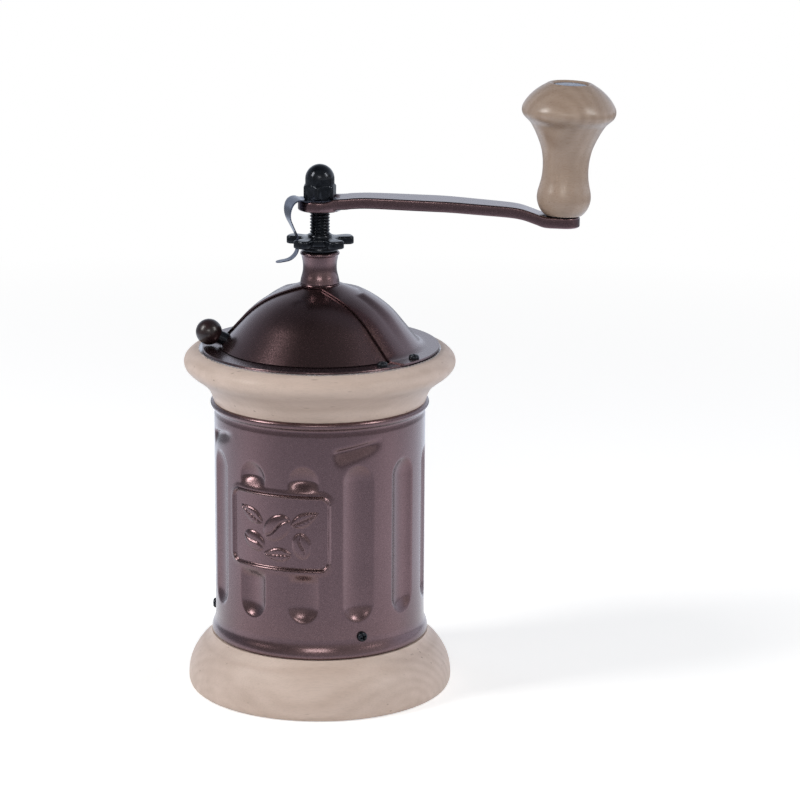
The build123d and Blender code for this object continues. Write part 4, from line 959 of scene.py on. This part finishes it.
def build_latch():
    """Spring strip from under the cap nut over the hub's edge, down between two lobes and out."""
    seat = HUB_TOP + LATCH_SHEET / 2
    root_half, tip_half, edge_round = 6.2, 2.1, 0.1
    line = strip_line((5.2, seat), 0.0, [(1.7,), (2.5, 28), (2.5, -28), (3.7, -65), (8.0, -51),
                                         (2.0,), (2.0,), (2.2,), (6.0, 26)])
    line += strip_line((line[-1][0], STAR_PLATE - 0.2), -90.0,
                       [(5.6, 82), (1.4,), (1.4,), (0.9,), (0.3,), (0.2,)])
    line = np.array(line)
    step = np.gradient(line, axis=0)
    normal = np.stack([-step[:, 1], step[:, 0]], axis=1) / np.hypot(*step.T)[:, None]
    foot = STAR_TOP + 1.0
    taper = smoothstep(0.0, 1.0, np.clip((line[:, 1] - foot) / (seat + 0.8 - foot), 0, 1) ** 0.9)
    travel = np.concatenate([[0], np.cumsum(np.hypot(*np.diff(line, axis=0).T))])
    tail = np.clip((travel[-1] - travel) / 2.0, 0, 1)
    width = (tip_half + (root_half - tip_half) * taper) * np.sqrt(
        np.maximum(1 - (1 - tail) ** 2, 0.02))
    outward = np.array([*plan(1.0, LATCH), 0.0])
    across = np.array([-outward[1], outward[0], 0.0])
    up = np.array([0.0, 0.0, 1.0])
    lanes = np.array([-1.0, -0.97, -0.8, -0.4, 0.0, 0.4, 0.8, 0.97, 1.0])
    rise = LATCH_SHEET / 2 - edge_round * (np.abs(lanes) == 1.0)
    grids = []
    for side in (1, -1):
        section = line[:, None] + normal[:, None] * (side * rise)[:, None]
        grids.append(outward * section[..., :1] + up * section[..., 1:]
                     + across * (width[:, None] * lanes)[..., None])
    piece = shell("latch_strip", *grids, None, ["latch_root", "latch_leaf"], "spring_steel", 50,
                  wrap=False)
    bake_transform(piece)


def build_eye():
    """Round plate of the latch strip, under the cap nut."""
    bottom, top = HUB_TOP, HUB_TOP + LATCH_SHEET - 0.03
    outline = [(4.05, bottom), (6.8, bottom), (6.9, bottom + 0.1), (6.9, top - 0.1), (6.8, top),
               (4.05, top)]
    lathe("latch_eye", outline, "spindle", [], "spring_steel", 64)


def build_axle():
    """Knob axle: a rivet tail under the arm and a domed head in the knob's recess."""
    head = KNOB_TOP - KNOB_RECESS + 0.15
    dome = curve(raised([(7.05, 1.6), (6.85, 1.95), (6.0, 2.2), (4.0, 2.38), (2.0, 2.46),
                         (0.0, 2.48)], head), 6)
    outline = [(0.0, -ARM_THICK), (3.0, -ARM_THICK), (3.0, head), (6.8, head),
               (7.05, head + 0.25)] + dome
    lathe("axle_steel", outline, "spindle", ["knob_axle"], "spring_steel", 96, knob_seat())


# -------- door knob
def build_door_knob():
    """Ball on a tilted stud, with a hole for the stud's end."""
    radius = (high("door_knob").z - low("door_knob").z) / 2
    stud_rise, hole = 25, 1.52
    tilt = Matrix.Translation(middle("door_knob")) @ Matrix.Rotation(
        radians(stud_rise - 90), 4, "Y")
    ball = arc((0, 0), radius, -degrees(acos(hole / radius)), 90, 40)
    outline = [(0.0, -1.0), (hole, -1.0)] + ball[:-1] + [(0.0, radius)]
    lathe("ball", outline, "door", ["door_knob"], "dark_ball", 96, tilt)


# -------- screws
SCREW_HEAD, SCREW_HEIGHT, SCREW_SHANK, SCREW_LENGTH = 2.1, 1.5, 1.38, 8.0
CROSS_DEPTH = 0.9


def add_screw(verts, faces, place, turn):
    """Adds a cross-recessed pan-head screw to a mesh; Z of its place leaves the head, and turn
    is the angle of its cross."""
    head, height, columns = SCREW_HEAD, SCREW_HEIGHT, 72
    rows = [(SCREW_SHANK, -SCREW_LENGTH), (SCREW_SHANK, 0.0), (head - 0.1, 0.0), (head, 0.12)]
    rows += [(head * (0.62 + 0.38 * cos(a)), 0.12 + (height - 0.12) * sin(a) ** 0.8)
             for a in np.linspace(0, pi / 2, 9)[1:]]
    rows += [(head * s, height + 0.08 * (1 - s))
             for s in (0.54, 0.46, 0.40, 0.34, 0.28, 0.22, 0.17, 0.12, 0.06)]
    start = len(verts)
    for radius, z in rows:
        u, v = np.abs(plan(radius, full_turn(columns)))
        cut = (1 - smoothstep(0.20, 0.34, np.minimum(u, v))) * (
            1 - smoothstep(head * 0.50, head * 0.62, np.maximum(u, v)))
        depth = CROSS_DEPTH * cut * (z > height * 0.9)
        points = polar_grid(radius, full_turn(columns) + turn, z - depth)
        verts += [place @ Vector(point) for point in points]
    faces += ring_faces(len(rows), columns, start, close_rows=False)
    first, last = len(verts), len(verts) - columns
    verts += [place @ Vector((0, 0, -SCREW_LENGTH)), place @ Vector((0, 0, height - CROSS_DEPTH))]
    for j in range(columns):
        k = (j + 1) % columns
        faces += [(start + k, start + j, first), (last + j, last + k, first + 1)]


def screw_place(radius, angle, z, outward):
    """Frame at a plan radius and angle, with its Z upright or away from the axis."""
    place = Matrix.Translation((*plan(radius, angle), z))
    if outward:
        place = place @ Matrix.Rotation(radians(angle), 4, "Z") @ Matrix.Rotation(
            radians(90), 4, "Y")
    return place


def build_screws():
    """Three screws in the body's side, three in the hood's flange, and the door's stop."""
    body_level = middle("body_screws").z
    # name, body, node, plan radius, height, whether they face outward, each (plan angle, turn)
    for name, body, node, radius, z, outward, screws in (
        ("body_screw_set", "stand", "body_screws", BODY_RADIUS, body_level, True,
         [(FRONT + 47, 20), (FRONT + 167, 51), (FRONT + 287, 82)]),
        ("hood_screw_set", "top", "hood_screws", 45.2, FLANGE_TOP, False,
         [(WINDOW + 83.25, 12), (WINDOW + 180, 52), (WINDOW + 276.75, 92)]),
        ("stop_screw_steel", "top", "stop_screw", 43.3, LID_TOP, False, [(FRONT + 58.5, 30)]),
    ):
        verts, faces = [], []
        for angle, turn in screws:
            add_screw(verts, faces, screw_place(radius, angle, z, outward), turn)
        make_piece(name, verts, faces, body, [node], "blackened_steel", 35)


# -------- build all
for build in (build_body, build_base, build_top_ring, build_knob, build_hopper, build_lid_ring,
              build_hood, build_door, build_neck, build_star, build_shaft, build_arm,
              build_cap_nut, build_latch, build_eye, build_axle, build_door_knob, build_screws):
    build()

KEPT_NODES = {
    "tin_plate": ("hopper_screws", "bridge_screws", "neck_nut", "door_stud", "burr_nut"),
    "tool_steel": ("inner_burr", "outer_burr"),
    "cast_iron": ("burr_housing", "bearing_bridge"),
    "bronze_bush": ("shaft_bush",),
    "blackened_steel": ("knob_collar", "knob_washer"),
}
for material_name, node_names in KEPT_NODES.items():
    for node_name in node_names:
        mesh = frame["nodes"][node_name].data
        mesh.materials.clear()
        mesh.materials.append(MATERIALS[material_name])


# -------- camera, in metres
def aim(obj, location, target, roll=0.0):
    direction = (Vector(target) - Vector(location)).normalized()
    turn = direction.to_track_quat("-Z", "Y").to_matrix().to_4x4()
    obj.matrix_world = Matrix.Translation(location) @ turn @ Matrix.Rotation(roll, 4, "Z")


CAMERA_DISTANCE, CAMERA_PITCH = 1.250, radians(14.05)
TARGET_HEIGHT, TARGET_SIDE = 0.1191, 0.0325
camera_data = bpy.data.cameras.new("camera")
camera_data.lens = 138.6
camera_data.sensor_width = 36.0
camera_data.clip_start, camera_data.clip_end = 0.05, 50.0
camera = bpy.data.objects.new("camera", camera_data)
bpy.context.scene.collection.objects.link(camera)
eye = (0.0, -CAMERA_DISTANCE * cos(CAMERA_PITCH),
       TARGET_HEIGHT + CAMERA_DISTANCE * sin(CAMERA_PITCH))
yaw = atan2(TARGET_SIDE, CAMERA_DISTANCE)
aim(camera, eye, (TARGET_SIDE, 0.0, TARGET_HEIGHT), yaw * sin(CAMERA_PITCH))
bpy.context.scene.camera = camera


# -------- floor, world and lamps
WHITE = (1, 1, 1, 1)
FLOOR_HALF = 8.0
FLOOR_GLOW = 0.52
WORLD_LEVEL, MIRRORED_LEVEL = 1.0, 1.8
LAMP_TARGET = 0.12


def emission(tree, colour, strength):
    return add_node(tree, "Emission", {"Color": colour, "Strength": strength}).outputs[0]


def blended(tree, share, a, b):
    """Shader a where the share is 0, and b where it is 1."""
    return add_node(tree, "MixShader", {0: share, 1: a, 2: b}).outputs[0]


def pick_by_ray(tree, seen, mirrored, lit):
    """One shader for the camera, one for reflections and glass, one for diffuse light."""
    ray = add_node(tree, "LightPath").outputs
    polished = maths(tree, "MAXIMUM", ray["Is Glossy Ray"], ray["Is Transmission Ray"])
    indirect = blended(tree, polished, lit, mirrored)
    return blended(tree, ray["Is Camera Ray"], indirect, seen)


def around(tree, vector):
    """Where a direction points: 0 to the front, 0.5 to a side, 1 to the back; and its X."""
    flat = vector_maths(tree, "MULTIPLY", vector, (1.0, 1.0, 0.0)).outputs[0]
    split = split_vector(tree, vector_maths(tree, "NORMALIZE", flat).outputs[0])
    return map_range(tree, split["Y"], -1.0, 1.0), split["X"]


def build_floor():
    """Pale floor that keeps the shadow near the part and turns plain white further away.
    Reflections show it near the part, and beyond that the studio's lower half."""
    mesh = bpy.data.meshes.new("floor")
    corners = [(x * FLOOR_HALF, y * FLOOR_HALF, 0) for x, y in ((-1, -1), (1, -1), (1, 1), (-1, 1))]
    mesh.from_pydata(corners, [], [(0, 1, 2, 3)])
    floor = bpy.data.objects.new("floor", mesh)
    bpy.context.scene.collection.objects.link(floor)
    material, tree, shader = new_material("floor")
    set_values(shader, Base_Color=(0.85, 0.85, 0.85, 1), Roughness=1.0, Specular_IOR_Level=0.0)
    glow = emission(tree, WHITE, FLOOR_GLOW)
    near = add_node(tree, "AddShader", {0: shader.outputs[0], 1: glow}).outputs[0]
    place = add_node(tree, "TexCoord").outputs["Object"]
    distance = vector_maths(tree, "LENGTH", place).outputs["Value"]
    seen = blended(tree, map_range(tree, distance, 0.35, 0.9), near, emission(tree, WHITE, 1.0))
    colour = ramp(tree, around(tree, place)[0], (0.0, (0.52, 0.55, 0.62)),
                  (0.12, (0.58, 0.61, 0.68)), (0.40, (0.90, 0.92, 1.0)),
                  (0.60, (0.78, 0.83, 0.92)), (1.0, (0.68, 0.74, 0.84)))
    studio = emission(tree, colour, map_range(tree, distance, 0.45, 0.75, 1.7, 0.45))
    mirrored = blended(tree, map_range(tree, distance, 0.07, 0.20), near, studio)
    choice = pick_by_ray(tree, seen, mirrored, shader.outputs[0])
    tree.links.new(choice, tree.nodes["Material Output"].inputs["Surface"])
    mesh.materials.append(material)


def build_world():
    """White for the eye; for light and reflections a studio with a dark ceiling."""
    world = bpy.data.worlds.new("studio")
    bpy.context.scene.world = world
    world.use_nodes = True
    tree = world.node_tree
    place = add_node(tree, "TexCoord").outputs["Generated"]
    toward_back, toward_right = around(tree, place)
    studio = ramp(tree, toward_back, (0.0, 0.60), (0.14, 0.60), (0.34, 0.62),
                  (0.55, (0.78, 0.86, 1.0)), (1.0, (0.80, 0.87, 1.0)))
    studio = shade(tree, studio, split_vector(tree, place)["Z"], (0.0, 0.75), (0.20, 0.62),
                   (0.50, 0.42), (0.75, 0.15), (1.0, 0.10))
    studio = shade(tree, studio, map_range(tree, toward_right, -1.0, 1.0), (0.0, 0.34),
                   (0.35, 0.80), (0.75, 0.95), (1.0, 1.15))
    lit = tree.nodes["Background"]
    tree.links.new(studio, lit.inputs["Color"])
    lit.inputs["Strength"].default_value = WORLD_LEVEL
    mirrored = add_node(tree, "Background", {"Color": studio, "Strength": MIRRORED_LEVEL})
    seen = add_node(tree, "Background", {"Color": WHITE, "Strength": 1.0})
    choice = pick_by_ray(tree, seen.outputs[0], mirrored.outputs[0], lit.outputs[0])
    tree.links.new(choice, tree.nodes["World Output"].inputs["Surface"])


def lamp(name, azimuth, elevation, distance, size, energy, colour, mirrored=True):
    """Soft box that looks at the body; azimuth 0 is in front, positive towards +X."""
    data = bpy.data.lights.new(name, "AREA")
    data.shape = "RECTANGLE"
    data.size, data.size_y = size
    data.energy = energy
    data.color = colour
    a, e = radians(azimuth), radians(elevation)
    place = (distance * sin(a) * cos(e), -distance * cos(a) * cos(e),
             LAMP_TARGET + distance * sin(e))
    box = bpy.data.objects.new(name, data)
    bpy.context.scene.collection.objects.link(box)
    aim(box, place, (0.0, 0.0, LAMP_TARGET))
    box.visible_glossy = mirrored


build_floor()
build_world()
lamp("left_box", -70, 36, 1.3, (0.34, 0.60), 9.0, (1.0, 0.98, 0.95))
lamp("right_box", 62, 34, 1.3, (0.24, 0.55), 4.6, (1.0, 0.98, 0.95))
lamp("back_left", -122, 18, 1.4, (0.5, 0.6), 1.7, (0.86, 0.91, 1.0), mirrored=False)
lamp("back_right", 118, 18, 1.4, (0.5, 0.6), 1.9, (0.86, 0.91, 1.0), mirrored=False)
lamp("front_fill", -4, 24, 1.5, (0.6, 0.20), 2.8, (1.0, 0.97, 0.93))

view = bpy.context.scene.view_settings
view.view_transform = "Standard"
